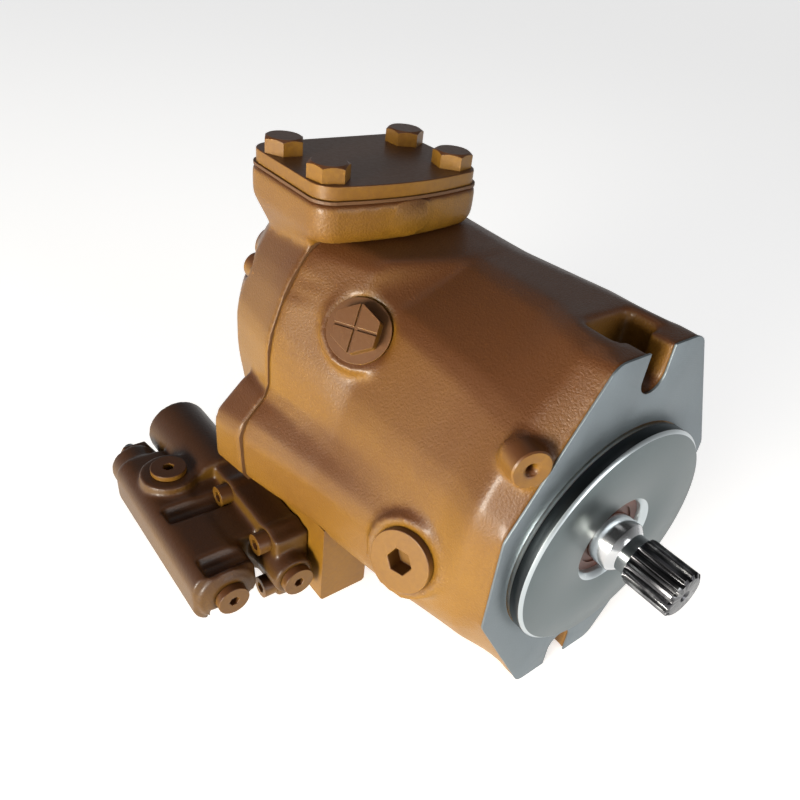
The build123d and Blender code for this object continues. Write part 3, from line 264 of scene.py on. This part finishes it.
class Finish:
    """A material under construction. node() adds any node: settings first, then its inputs."""

    def __init__(self, name, **constants):
        self.material = bpy.data.materials.new(name)
        self.material.use_nodes = True
        self.tree = self.material.node_tree
        self.surface = self.tree.nodes["Principled BSDF"]
        for key, value in constants.items():
            self.surface.inputs[key.replace("_", " ")].default_value = value
        coords = self.tree.nodes.new("ShaderNodeTexCoord")
        self.place, self.normal = coords.outputs["Object"], coords.outputs["Normal"]

    def node(self, kind, settings, inputs):
        made = self.tree.nodes.new(kind)
        for key, value in settings.items():
            if key == "stops":
                self._set_stops(made.color_ramp, value)
            else:
                setattr(made, key, value)
        for key, value in inputs.items():
            if isinstance(value, Value):
                value = value.socket
            if isinstance(value, bpy.types.NodeSocket):
                self.tree.links.new(value, made.inputs[key])
            else:
                made.inputs[key].default_value = value
        return made

    def _set_stops(self, ramp, stops):
        while len(ramp.elements) < len(stops):
            ramp.elements.new(0.5)
        for element, (position, colour) in zip(ramp.elements, stops):
            element.position, element.color = position, (*colour, 1)

    def value(self, kind, settings, inputs, output=0):
        return Value(self, self.node(kind, settings, inputs).outputs[output])

    def noise(self, scale, detail=2.0, roughness=0.5, stretch=(1, 1, 1)):
        moved = self.node("ShaderNodeMapping", {}, {0: self.place, 3: stretch})
        inputs = {"Vector": moved.outputs[0], "Scale": scale}
        inputs.update({"Detail": detail, "Roughness": roughness})
        return self.value("ShaderNodeTexNoise", {}, inputs)

    def axes(self):
        split = self.node("ShaderNodeSeparateXYZ", {}, {0: self.place})
        return [Value(self, s) for s in split.outputs]

    def facing_up(self):
        """The upward part of the surface's own direction: 1 on a level top, 0 on a wall."""
        return Value(self, self.node("ShaderNodeSeparateXYZ", {}, {0: self.normal}).outputs[2])

    def radius_from_axis(self):
        """Distance from the shaft axis: the square root of x squared plus z squared."""
        x, _, z = self.axes()
        return self.value("ShaderNodeMath", {"operation": "SQRT"}, {0: x * x + z * z})

    def lathe_rings(self, radius, pitch):
        """Rings round the shaft axis: the sine of the radius, one wave for each pitch."""
        turns = radius * (2 * math.pi / pitch)
        return self.value("ShaderNodeMath", {"operation": "SINE"}, {0: turns})

    def near(self, place, reach):
        """1 at a place, easing to 0 at the reach."""
        ends = {0: self.place, 1: place}
        away = self.node("ShaderNodeVectorMath", {"operation": "DISTANCE"}, ends).outputs["Value"]
        return 1.0 - Value(self, away).between(0.0, reach)

    def blend(self, share, first, second):
        """Colour that goes from first to second as share goes from 0 to 1."""
        mix = self.node("ShaderNodeMix", {"data_type": "RGBA"}, {"Factor": share})
        for socket, colour in ((mix.inputs[6], first), (mix.inputs[7], second)):
            if isinstance(colour, bpy.types.NodeSocket):
                self.tree.links.new(colour, socket)
            else:
                socket.default_value = (*colour, 1)
        return mix.outputs[2]

    def drive(self, name, value):
        source = value.socket if isinstance(value, Value) else value
        self.tree.links.new(source, self.surface.inputs[name])

    def bump(self, height, distance):
        inputs = {"Height": height, "Distance": distance, "Strength": 1.0}
        self.drive("Normal", self.node("ShaderNodeBump", {}, inputs).outputs[0])


# %% [markdown]
# ## Paint on cast iron
# The pump is sprayed in thick ochre enamel. Over sand-cast iron it keeps the pebbly skin of
# the mould, about 1 mm across, and it pools and thins a little, so its tone drifts. Faces
# that point up are painted darker, as painted shade for the dim sky above them. On machined
# lids and screws the same paint lies flat with a faint orange peel. The valve was given a
# browner coat.
# Small pale patches with ragged edges on the lower left of the castings are painted highlights.

# %% Mix the paints
OCHRE = (0.215, 0.100, 0.006)
OCHRE_DEEP = (0.140, 0.057, 0.005)
# Painted shade: the dark brown that faces pointing up are blended towards.
TOP_SHADE = (0.082, 0.027, 0.006)
# Painted highlight: a pale tone laid in ragged patches at the places listed below, on the lower
# left of the castings.
PALE_HIGHLIGHT = (0.62, 0.50, 0.33)
HIGHLIGHT_PATCHES = (  # the middle of each patch, then its reach
    ((-0.100, 0.070, -0.045), 0.035), ((-0.060, 0.020, -0.075), 0.045),
    ((-0.030, 0.016, -0.088), 0.030))


def paint(name, grain_size, grain_depth, highlight_patches=(), depth=1.0):
    """Enamel whose bump is a pebbly noise, with slow tone drift, painted shade on upward faces and
    pale painted highlight patches.
    """
    f = Finish(name, Roughness=0.38, Specular_IOR_Level=0.36, Coat_Roughness=0.18)
    drift = f.noise(14.0, 3.0)
    pebbles = f.noise(1.0 / grain_size, 3.0, 0.55)
    deep, light, top_shade = (tuple(depth * c for c in tone) for tone in (OCHRE_DEEP, OCHRE, TOP_SHADE))
    colour = f.blend((drift * 0.8 + pebbles * 0.4).between(0.35, 0.85), deep, light)
    # Painted shade: the more a face points up, the nearer it comes to the dark brown.
    colour = f.blend(f.facing_up().between(0.0, 0.75), colour, top_shade)
    # Painted highlight: pale ragged patches round the listed places.
    highlight_reach = None
    for place, reach in highlight_patches:
        spot = f.near(place, reach)
        highlight_reach = spot if highlight_reach is None else highlight_reach + spot
    if highlight_reach is not None:
        highlight_breakup = f.noise(260.0, 4.0, 0.7)
        highlight_mask = (highlight_reach * highlight_breakup).between(0.44, 0.52)
        colour = f.blend(highlight_mask, colour, PALE_HIGHLIGHT)
    f.drive("Base Color", colour)
    f.drive("Roughness", 0.40 + 0.16 * pebbles)
    f.drive("Coat Weight", 0.22 - 0.15 * drift)
    f.bump(pebbles, grain_depth)
    return f.material


CAST_PAINT = paint("ochre_enamel_on_casting", 1.1 * MM, 0.34 * MM, HIGHLIGHT_PATCHES)
FLAT_PAINT = paint("ochre_enamel_on_machined", 2.6 * MM, 0.10 * MM)
VALVE_PAINT = paint("ochre_enamel_on_valve", 1.6 * MM, 0.18 * MM, depth=0.5)
FITTING_PAINT = paint("ochre_enamel_on_valve_fittings", 2.6 * MM, 0.10 * MM, depth=0.75)
print("paints:", CAST_PAINT.name, FLAT_PAINT.name, VALVE_PAINT.name)

# %% [markdown]
# ## Bare metals, rubber and bronze
# The flange face was turned on a lathe, so it carries fine rings round the shaft axis; the
# rings are a wave of the distance from that axis. The same distance tells the pilot's face
# from its rim, painted near black as shade, and from its chamfers, relief groove and bore,
# painted bright as highlights. The shaft is black on its hardened spline and polished
# behind it, which a step along Y gives. Springs are dark drawn wire.

# %% Mix the metals
def turned_metal(name, colour, roughness, pitch, depth):
    """Metal with lathe rings broken up by noise."""
    f = Finish(name, Metallic=1.0)
    rings = f.lathe_rings(f.radius_from_axis(), pitch)
    uneven = f.noise(90.0, 4.0)
    bands = f.noise(700.0, 2.0, 0.6, stretch=(1, 0.02, 1))
    dark = tuple(0.72 * c for c in colour)
    f.drive("Base Color", f.blend(uneven * 0.6 + bands * 0.4, dark, colour))
    f.drive("Roughness", roughness + 0.14 * uneven)
    f.bump(rings * uneven + bands, depth)
    return f.material


def pilot_metal(name, face, rim_shade_tone, glint_tone, outer, inner):
    """Satin face, rim painted dark as shade, chamfers and relief painted bright as highlights, told
    apart by the distance from the axis.
    """
    f = Finish(name, Metallic=1.0)
    radius = f.radius_from_axis()
    uneven = f.noise(90.0, 4.0)
    # Painted shade: the outer cylinder is given a near-black tone.
    rim_shade = radius.between(outer - 0.10 * MM, outer - 0.05 * MM)
    # Painted highlights: the chamfers, the relief groove and the bore are given a bright tone.
    outer_glint = radius.between(outer - 1.70 * MM, outer - 1.60 * MM)
    edge = outer_glint + (1.0 - radius.between(inner + 2.5 * MM, inner + 2.7 * MM))
    colour = f.blend(uneven, tuple(0.8 * c for c in face), face)
    f.drive("Base Color", f.blend(rim_shade, f.blend(edge, colour, glint_tone), rim_shade_tone))
    f.drive("Roughness", 0.30 + 0.12 * uneven - 0.06 * edge)
    f.bump(f.lathe_rings(radius, 0.7 * MM) * uneven, 0.005 * MM)
    return f.material


def plain_metal(name, colour, roughness, wear=0.1):
    """Ground or drawn metal: an even colour with a slow drift of tone and gloss."""
    f = Finish(name, Metallic=1.0)
    drift = f.noise(60.0, 3.0)
    f.drive("Base Color", f.blend(drift, tuple(0.8 * c for c in colour), colour))
    f.drive("Roughness", roughness + wear * drift)
    f.bump(f.noise(1500.0, 2.0), 0.01 * MM)
    return f.material


def shaft_metal(name, dark, bright, step_y):
    """Hardened black spline in front of step_y, polished journal behind it."""
    f = Finish(name, Metallic=1.0)
    y = f.axes()[1]
    drift = f.noise(80.0, 3.0)
    journal = y.between(step_y - 0.5 * MM, step_y + 0.5 * MM)
    scuffed = tuple(0.5 * (a + b) for a, b in zip(dark, bright))
    spline = f.blend(drift.between(0.5, 0.75), dark, scuffed)
    f.drive("Base Color", f.blend(journal, spline, bright))
    f.drive("Roughness", 0.22 - 0.12 * journal + 0.08 * drift)
    f.bump(f.noise(1500.0, 2.0), 0.008 * MM)
    return f.material


def soft_finish(name, colour, roughness):
    """Rubber or gasket board: matte, with a fine grain."""
    f = Finish(name)
    grain = f.noise(900.0, 3.0)
    f.drive("Base Color", f.blend(grain, tuple(0.7 * c for c in colour), colour))
    f.drive("Roughness", roughness - 0.1 * grain)
    f.bump(grain, 0.04 * MM)
    return f.material


PILOT_R, SEAL_BORE_R = 63.5 * MM, 22.5 * MM
SPLINE_END_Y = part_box("drive_shaft")[0].y + 27 * MM
FLANGE_METAL = turned_metal("turned_flange_iron", (0.235, 0.270, 0.290), 0.46, 1.1 * MM, 0.012 * MM)
# Painted shade and highlight: the near-black tone is for the rim, the pale grey one for the
# chamfers and relief.
PILOT_METAL = pilot_metal("turned_pilot_iron", (0.155, 0.185, 0.190), (0.035, 0.040, 0.043),
                          (0.55, 0.60, 0.62), PILOT_R, SEAL_BORE_R)
GROUND_STEEL = plain_metal("ground_steel", (0.42, 0.43, 0.45), 0.16)
SPLINE_STEEL = shaft_metal("splined_steel", (0.060, 0.060, 0.065), (0.62, 0.63, 0.64), SPLINE_END_Y)
SPRING_WIRE = plain_metal("spring_wire", (0.10, 0.10, 0.11), 0.34)
BRONZE = plain_metal("bearing_bronze", (0.55, 0.31, 0.12), 0.28)
SEAL_RUBBER = soft_finish("seal_rubber", (0.115, 0.038, 0.022), 0.5)
PAINTED_GASKET = soft_finish("painted_gasket_edge", (0.12, 0.050, 0.012), 0.6)
print("metals:", FLANGE_METAL.name, PILOT_METAL.name, GROUND_STEEL.name)

# %% [markdown]
# ## Castings
# Sand moulds can't hold a sharp edge, so every corner of a real casting has a radius. The
# CAD castings are exact but faceted. A voxel remesh turns a copy of the solid into an even
# skin, and averaging each point with its neighbours a few times melts the corners into
# fillets. The joint between the castings was machined later and is crisp, so the solid is
# stretched past its joint plane before the melt and cut back to it afterwards.

# %% Melt the edges of a solid
def merged_copy(name, node):
    """A closed copy of a CAD node's mesh, its loose triangles merged."""
    mesh = frame["nodes"][node].data.copy()
    mesh.name = name
    work = bmesh.new()
    work.from_mesh(mesh)
    bmesh.ops.remove_doubles(work, verts=work.verts, dist=2e-6)
    work.to_mesh(mesh)
    work.free()
    piece = bpy.data.objects.new(name, mesh)
    bpy.context.scene.collection.objects.link(piece)
    return piece


def apply_modifiers(piece):
    graph = bpy.context.evaluated_depsgraph_get()
    made = bpy.data.meshes.new_from_object(piece.evaluated_get(graph))
    piece.modifiers.clear()
    old, piece.data = piece.data, made
    bpy.data.meshes.remove(old)
    return piece


def cut_away(piece, low, high):
    """Removes the part of a closed piece inside a box."""
    x, y, z = np.meshgrid(*([low[i], high[i]] for i in range(3)), indexing="ij")
    points = np.stack([x, y, z], -1).reshape(-1, 3)
    faces = np.array([(0, 1, 3, 2), (4, 6, 7, 5), (0, 4, 5, 1),
                      (2, 3, 7, 6), (0, 2, 6, 4), (1, 5, 7, 3)])
    cutter = piece_from("cutter", points, faces)
    cut = piece.modifiers.new("cut", "BOOLEAN")
    cut.operation, cut.object, cut.solver = "DIFFERENCE", cutter, "EXACT"
    apply_modifiers(piece)
    bpy.data.objects.remove(cutter)


def neighbour_mean(co, edges):
    """The mean of each point's neighbours: sums over edges divided by their count."""
    ends = np.concatenate([edges, edges[:, ::-1]])
    count = np.bincount(ends[:, 0], minlength=len(co))[:, None]
    sums = [np.bincount(ends[:, 0], co[ends[:, 1], k], len(co)) for k in range(3)]
    return np.stack(sums, 1) / np.maximum(count, 1)


def melt(piece, rounds, keep=None):
    """Moves each point towards its neighbours' mean, rounds times, and less where keep is 1."""
    mesh = piece.data
    edges = np.empty(len(mesh.edges) * 2, np.int32)
    mesh.edges.foreach_get("vertices", edges)
    edges = edges.reshape(-1, 2)
    co = points_of(mesh)
    share = 0.6 * (1.0 - (keep(co) if keep else np.zeros(len(co))))[:, None]
    for _ in range(rounds):
        co += share * (neighbour_mean(co, edges) - co)
    set_points(mesh, co)


def cast_skin(piece, voxel, rounds, keep=None):
    remesh = piece.modifiers.new("skin", "REMESH")
    remesh.mode, remesh.voxel_size = "VOXEL", voxel
    apply_modifiers(piece)
    melt(piece, rounds, keep)
    piece.data.shade_smooth()
    print(piece.name, len(piece.data.vertices), "points")
    return piece


# %% Cast the housing
HOUSING_LOW, HOUSING_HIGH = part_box("housing")
FACE_SKIN = 0.8 * MM     # thickness of the bare face, cut off the casting's front
FAR = 0.3                # beyond every casting, in metres
STRETCH = 6 * MM         # more than the melt can round
JOINT_GAP = 0.2 * MM     # each casting stops this far short of its joint plane


def near_plane(co, axis, value, reach):
    """1 on a plane across an axis, falling to 0 at the reach."""
    return np.clip(1.5 - np.abs(co[:, axis] - value) / reach, 0, 1)


def stretch_end(piece, y, grow):
    """Moves the points on the plane at y along Y by grow, so that a later cut there is crisp."""
    co = points_of(piece.data)
    co[np.abs(co[:, 1] - y) < 0.02 * MM, 1] += grow
    set_points(piece.data, co)


JOINT_PLANE = HOUSING_HIGH.y
housing = merged_copy("housing_casting", "housing")
stretch_end(housing, JOINT_PLANE, STRETCH)
cut_away(housing, (-FAR, -0.1, -FAR), (FAR, FACE_SKIN, FAR))
cast_skin(housing, 1.75 * MM, 6, lambda co: near_plane(co, 1, FACE_SKIN, 1.2 * MM))
cut_away(housing, (-FAR, JOINT_PLANE - JOINT_GAP, -FAR), (FAR, 0.5, FAR))
settle(housing, "case", "ochre_paint", CAST_PAINT, "housing")

# %% Cast the port block and the valve
PORT_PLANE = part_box("port_block")[0].y
port_block = merged_copy("port_block_casting", "port_block")
stretch_end(port_block, PORT_PLANE, -STRETCH)
cast_skin(port_block, 1.6 * MM, 7)
cut_away(port_block, (-FAR, -FAR, -FAR), (FAR, PORT_PLANE + JOINT_GAP, FAR))
settle(port_block, "case", "ochre_paint", CAST_PAINT, "port_block")
valve = cast_skin(merged_copy("valve_casting", "valve_body"), 1.1 * MM, 7)
settle(valve, "case", "ochre_paint", VALVE_PAINT, "valve_body")

# %% [markdown]
# ## The machined flange face
# The front of the flange is cut flat and left bare, and its crisp outline against the
# painted edge is the sharpest line on the pump. The CAD face already has that outline, so
# its flat triangles are taken as they are and given a small thickness.

# %% Lift the flange face off the CAD solid
def add_bevel(piece, width, segments, angle):
    """Rounds every edge sharper than the angle, in degrees."""
    bevel = piece.modifiers.new("edge", "BEVEL")
    bevel.width, bevel.segments = width, segments
    bevel.limit_method, bevel.angle_limit = "ANGLE", math.radians(angle)


def flat_front(name, node, y, thickness):
    """The triangles of a node that lie in the plane at y, thickened towards +Y."""
    piece = merged_copy(name, node)
    work = bmesh.new()
    work.from_mesh(piece.data)
    away = [f for f in work.faces
            if abs(f.calc_center_median().y - y) > 1e-5 or abs(f.normal.y) < 0.99]
    bmesh.ops.delete(work, geom=away, context="FACES")
    bmesh.ops.dissolve_limit(work, angle_limit=0.01, verts=work.verts, edges=work.edges)
    bmesh.ops.triangulate(work, faces=work.faces)
    work.to_mesh(piece.data)
    work.free()
    plate = piece.modifiers.new("thickness", "SOLIDIFY")
    plate.thickness, plate.offset = thickness, -1.0
    add_bevel(piece, 0.25 * MM, 2, 50.0)
    apply_modifiers(piece)
    piece.data.shade_smooth()
    piece.data.set_sharp_from_angle(angle=math.radians(30))
    return piece


flange_face = flat_front("flange_machined_face", "housing", 0.0, FACE_SKIN + 0.3 * MM)
settle(flange_face, "case", "machined_steel", FLANGE_METAL)
print("flange face:", len(flange_face.data.polygons), "faces")

# %% [markdown]
# ## Turned pieces
# The pilot, the gauge boss and the shaft were turned. One function makes such a surface: a
# list of stations gives the radius at each height along an axis, and a ring of points goes
# round at each. A second one cuts the corners of the list, because a tool never leaves a
# perfectly sharp edge, and a small chamfer is what catches the light.

# %% Turn a profile round an axis
def axis_frame(direction, twist=0.0):
    """Two unit vectors square to a direction, turned by the twist, and the direction."""
    along = np.array(direction, float)
    along /= np.linalg.norm(along)
    side = np.cross(along, (0, 0, 1) if abs(along[2]) < 0.9 else (0, 1, 0))
    side /= np.linalg.norm(side)
    other = np.cross(along, side)
    t = math.radians(twist)
    return side * math.cos(t) + other * math.sin(t), other * math.cos(t) - side * math.sin(t), along


def hexagon_radius(angle):
    """Radius over half the flats' width: 1 over the cosine of the angle to the nearest flat."""
    return 1.0 / np.cos(np.mod(angle + math.pi / 6, math.pi / 3) - math.pi / 6)


def ring_points(place, direction, heights, radii, twist=0.0):
    """Point = place + height along the direction + radius times (cos, sin) across it."""
    angle = np.linspace(0, 2 * math.pi, radii.shape[1], endpoint=False)
    side, other, along = axis_frame(direction, twist)
    ring = np.cos(angle)[:, None] * side + np.sin(angle)[:, None] * other
    rise = heights[:, None, None] * along
    return (np.array(place, float) + radii[..., None] * ring[None] + rise).reshape(-1, 3)


def turned(name, place, direction, stations, segments):
    """Stations are (height, radius) along the direction, the same all the way round."""
    heights, radii = (np.array(c, float) for c in zip(*stations))
    points = ring_points(place, direction, heights, np.repeat(radii[:, None], segments, 1))
    return piece_from(name, points, grid_faces(len(stations), segments))


def rounded(stations, width):
    """Cuts each corner of a profile: its point becomes two, at width along its two sides."""
    out = [stations[0]]
    for (h0, r0), (h, r), (h1, r1) in zip(stations, stations[1:], stations[2:]):
        for dh, dr in ((h0 - h, r0 - r), (h1 - h, r1 - r)):
            side = max(math.hypot(dh, dr), 1e-9)
            cut = min(width, 0.35 * side) / side
            out.append((h + dh * cut, r + dr * cut))
    return out + [stations[-1]]


SHAFT_AXIS = (0, 1, 0)
PILOT_FRONT = HOUSING_LOW.y
OUTER_CHAMFER, INNER_CHAMFER, RELIEF_DEPTH = 1.6 * MM, 2.6 * MM, 0.8 * MM
SEAL_BORE_END = PILOT_FRONT + 7.0 * MM
PILOT_ROOT = 0.6 * MM    # behind the flange face, so that no gap shows
pilot = turned("pilot_spigot", (0, 0, 0), SHAFT_AXIS, rounded([
    (SEAL_BORE_END, SEAL_BORE_R), (PILOT_FRONT + INNER_CHAMFER, SEAL_BORE_R),
    (PILOT_FRONT, SEAL_BORE_R + INNER_CHAMFER), (PILOT_FRONT, PILOT_R - OUTER_CHAMFER),
    (PILOT_FRONT + OUTER_CHAMFER, PILOT_R), (-2.2 * MM, PILOT_R),
    (-1.4 * MM, PILOT_R - RELIEF_DEPTH), (PILOT_ROOT, PILOT_R - RELIEF_DEPTH),
    (PILOT_ROOT, SEAL_BORE_R), (SEAL_BORE_END, SEAL_BORE_R)], 0.1 * MM), 192)
settle(pilot, "case", "machined_steel", PILOT_METAL)

print("pilot front at", round(PILOT_FRONT, 4))

# %% Turn the gauge boss
GAUGE = next(m for m in frame["record"]["mounts"] if m["name"] == "gauge_port")
BOSS_R, BOSS_HOLE_R, BOSS_L = 9.5 * MM, 3.0 * MM, 11 * MM
gauge_boss = turned("gauge_boss", GAUGE["pos_m"], GAUGE["axis"], rounded([
    (-BOSS_L, BOSS_HOLE_R), (-0.9 * MM, BOSS_HOLE_R), (0, BOSS_HOLE_R + 0.9 * MM), (0, BOSS_R),
    (-BOSS_L, BOSS_R), (-BOSS_L, BOSS_HOLE_R)], 0.7 * MM), 72)
settle(gauge_boss, "case", "ochre_paint", FLAT_PAINT)
print("gauge boss at", [round(v, 4) for v in GAUGE["pos_m"]])

# %% [markdown]
# ## The splined shaft
# Fifteen teeth run along the front of the shaft and fade out at both ends, where the cutter
# entered and left. The radius is therefore a function of both the height and the angle: the
# turned radius less a share of the tooth form, and the share is zero on the round parts.

# %% Turn the shaft and cut its spline
SPLINE_TEETH, TOOTH_HEIGHT = 15, 1.7


def spline_depth(angle):
    """Tooth form: a clipped cosine, 0 on the tips and 1 in the roots, flat at both ends."""
    wave = np.cos(angle * SPLINE_TEETH)
    return np.clip(0.5 + 0.95 * wave, 0, 1)


def splined_shaft(name):
    """Radius at a station (y, radius, share) = radius less share times the tooth form's depth."""
    low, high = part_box("drive_shaft")
    y0, y1 = low.y / MM, high.y / MM
    table = [
        (y0 + 4.5, 0.05, 0), (y0 + 0.3, 3.0, 0), (y0, 3.4, 0), (y0, 10.6, 0),
        (y0 + 0.15, 11.0, 0.2), (y0 + 1.2, 12.55, 1), (y0 + 1.5, 12.7, 1), (y0 + 14.0, 12.7, 1),
        (y0 + 25.2, 12.7, 1), (y0 + 27.0, 12.2, 0.2), (y0 + 27.3, 10.6, 0), (y0 + 33.0, 10.6, 0),
        (y0 + 36.0, 13.7, 0), (y0 + 36.6, 14.0, 0), (10.9, 14.0, 0), (11.1, 15.0, 0),
        (29.9, 15.0, 0), (30.1, 17.0, 0), (63.3, 17.0, 0), (63.5, 16.0, 0), (155.9, 16.0, 0),
        (156.1, 12.5, 0), (y1 - 0.8, 12.5, 0), (y1, 11.7, 0), (y1, 0.05, 0)]
    y, r, share = (np.array(c)[:, None] for c in zip(*table))
    angle = np.linspace(0, 2 * math.pi, 16 * SPLINE_TEETH, endpoint=False)[None]
    radius = (r - TOOTH_HEIGHT * share * spline_depth(angle)) * MM
    points = np.stack([radius * np.cos(angle), y * MM + 0 * angle, radius * np.sin(angle)], -1)
    return piece_from(name, points.reshape(-1, 3), grid_faces(len(table), angle.size), 28.0)


shaft = splined_shaft("splined_shaft")
settle(shaft, "rotor", "machined_steel", SPLINE_STEEL, "drive_shaft")
print("shaft:", len(shaft.data.polygons), "faces")

# %% [markdown]
# ## Painted fittings
# The cover, plugs and screws were machined sharp, then painted, and the paint rounds each
# edge by a few tenths of a millimetre. A bevel on a copy of the CAD solid gives that. Its
# flat faces are joined first, because a bevel needs whole faces and not loose triangles.

# %% Round the edges of the painted fittings
def softened(name, node, width):
    """A copy of a CAD node with its edges rounded to the width."""
    piece = merged_copy(name, node)
    work = bmesh.new()
    work.from_mesh(piece.data)
    flat = math.radians(0.8)
    bmesh.ops.dissolve_limit(work, angle_limit=flat, verts=work.verts, edges=work.edges)
    work.to_mesh(piece.data)
    work.free()
    add_bevel(piece, width, 3, 28.0)
    piece.data.shade_smooth()
    piece.modifiers.new("flat_faces", "WEIGHTED_NORMAL").keep_sharp = True
    apply_modifiers(piece)
    return piece


SOFTENED = {  # the width of the rounding in mm
    "suction_cover": 1.6, "vent_plug": 0.5, "drain_plug": 0.6, "rear_plug": 0.4,
    "adapter_block": 1.4, "valve_screws": 0.5, "port_block_screws": 0.5, "valve_top_plug": 0.5,
    "valve_front_plugs": 0.5, "valve_end_caps": 0.5, "adjuster_locknuts": 0.5}
for node, width in SOFTENED.items():
    made = softened(node + "_painted", node, width * MM)
    coat = FITTING_PAINT if node.startswith(("valve", "adjuster")) else FLAT_PAINT
    settle(made, "case", "ochre_paint", coat, node)
    print(node, len(made.data.polygons), "faces")

# %% [markdown]
# ## Hexagon heads
# A bolt head is a hexagon bar whose end was turned to a cone of 30 degrees, which leaves a
# curved edge on each flat. At every angle and height the head reaches as far as the hexagon
# or the cone, whichever is smaller, so the curves come out of one minimum. Four heads make
# one mesh, as they stand for one CAD node.

# %% Cut the bolt heads of the cover
def chamfered_head(place, direction, across, height, twist):
    """Radius = the smaller of the hexagon's and the cone's, at each angle and height."""
    segments, levels = 120, np.concatenate([[0, 0.02], np.linspace(0.66, 1.0, 12)]) * height
    angle = np.linspace(0, 2 * math.pi, segments, endpoint=False)
    prism = 0.5 * across * hexagon_radius(angle)
    cone = 0.46 * across + (height - levels) / math.tan(math.radians(30))
    centre = np.full((1, segments), 1e-5)
    radii = np.concatenate([centre, np.minimum(prism[None], cone[:, None]), centre])
    heights = np.concatenate([[0.0], levels, [height]])
    return ring_points(place, direction, heights, radii, twist), grid_faces(len(heights), segments)


COVER_LOW, COVER_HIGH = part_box("suction_cover")
HEAD_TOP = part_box("suction_cover_bolts")[1].z
COVER_BOLT_X, COVER_BOLT_Y, BOLT_FLATS = 77.8 * MM, 42.9 * MM, 19 * MM
head_points, head_faces = [], []
for k, (sx, sy) in enumerate(((-1, -1), (-1, 1), (1, -1), (1, 1))):
    x = (COVER_LOW.x + COVER_HIGH.x + sx * COVER_BOLT_X) / 2
    y = (COVER_LOW.y + COVER_HIGH.y + sy * COVER_BOLT_Y) / 2
    place, height = (x, y, COVER_HIGH.z), HEAD_TOP - COVER_HIGH.z
    points, faces = chamfered_head(place, (0, 0, 1), BOLT_FLATS, height, 12 + 17 * k)
    head_faces.append(faces + len(points) * k)
    head_points.append(points)
head_points, head_faces = np.concatenate(head_points), np.concatenate(head_faces)
cover_bolts = piece_from("cover_bolt_heads", head_points, head_faces, 25.0)
settle(cover_bolts, "case", "ochre_paint", FLAT_PAINT, "suction_cover_bolts")
print("bolt heads reach", round(HEAD_TOP, 4))

# %% [markdown]
# ## The rest of the solids
# The pistons, bearings, springs and spools are machined, and their CAD shapes are already
# right. They stay as they are and only take a finish, which the record names by its slot.

# %% Give the remaining CAD nodes their finishes
BY_SLOT = {
    "ochre_paint": FLAT_PAINT, "machined_steel": GROUND_STEEL, "spring_steel": SPRING_WIRE,
    "bearing_bronze": BRONZE, "seal_rubber": SEAL_RUBBER, "gasket": PAINTED_GASKET}
for part in frame["record"]["subparts"]:
    node = frame["nodes"][part["node"]]
    node.data.materials.clear()
    node.data.materials.append(BY_SLOT[part["material_slot"]])
    if not node.hide_render:
        node.data.shade_smooth()
        node.data.set_sharp_from_angle(angle=math.radians(30))

# %% [markdown]
# ## Last update
# The view layer is brought up to date at the end.

# %% Update the view layer
bpy.context.view_layer.update()
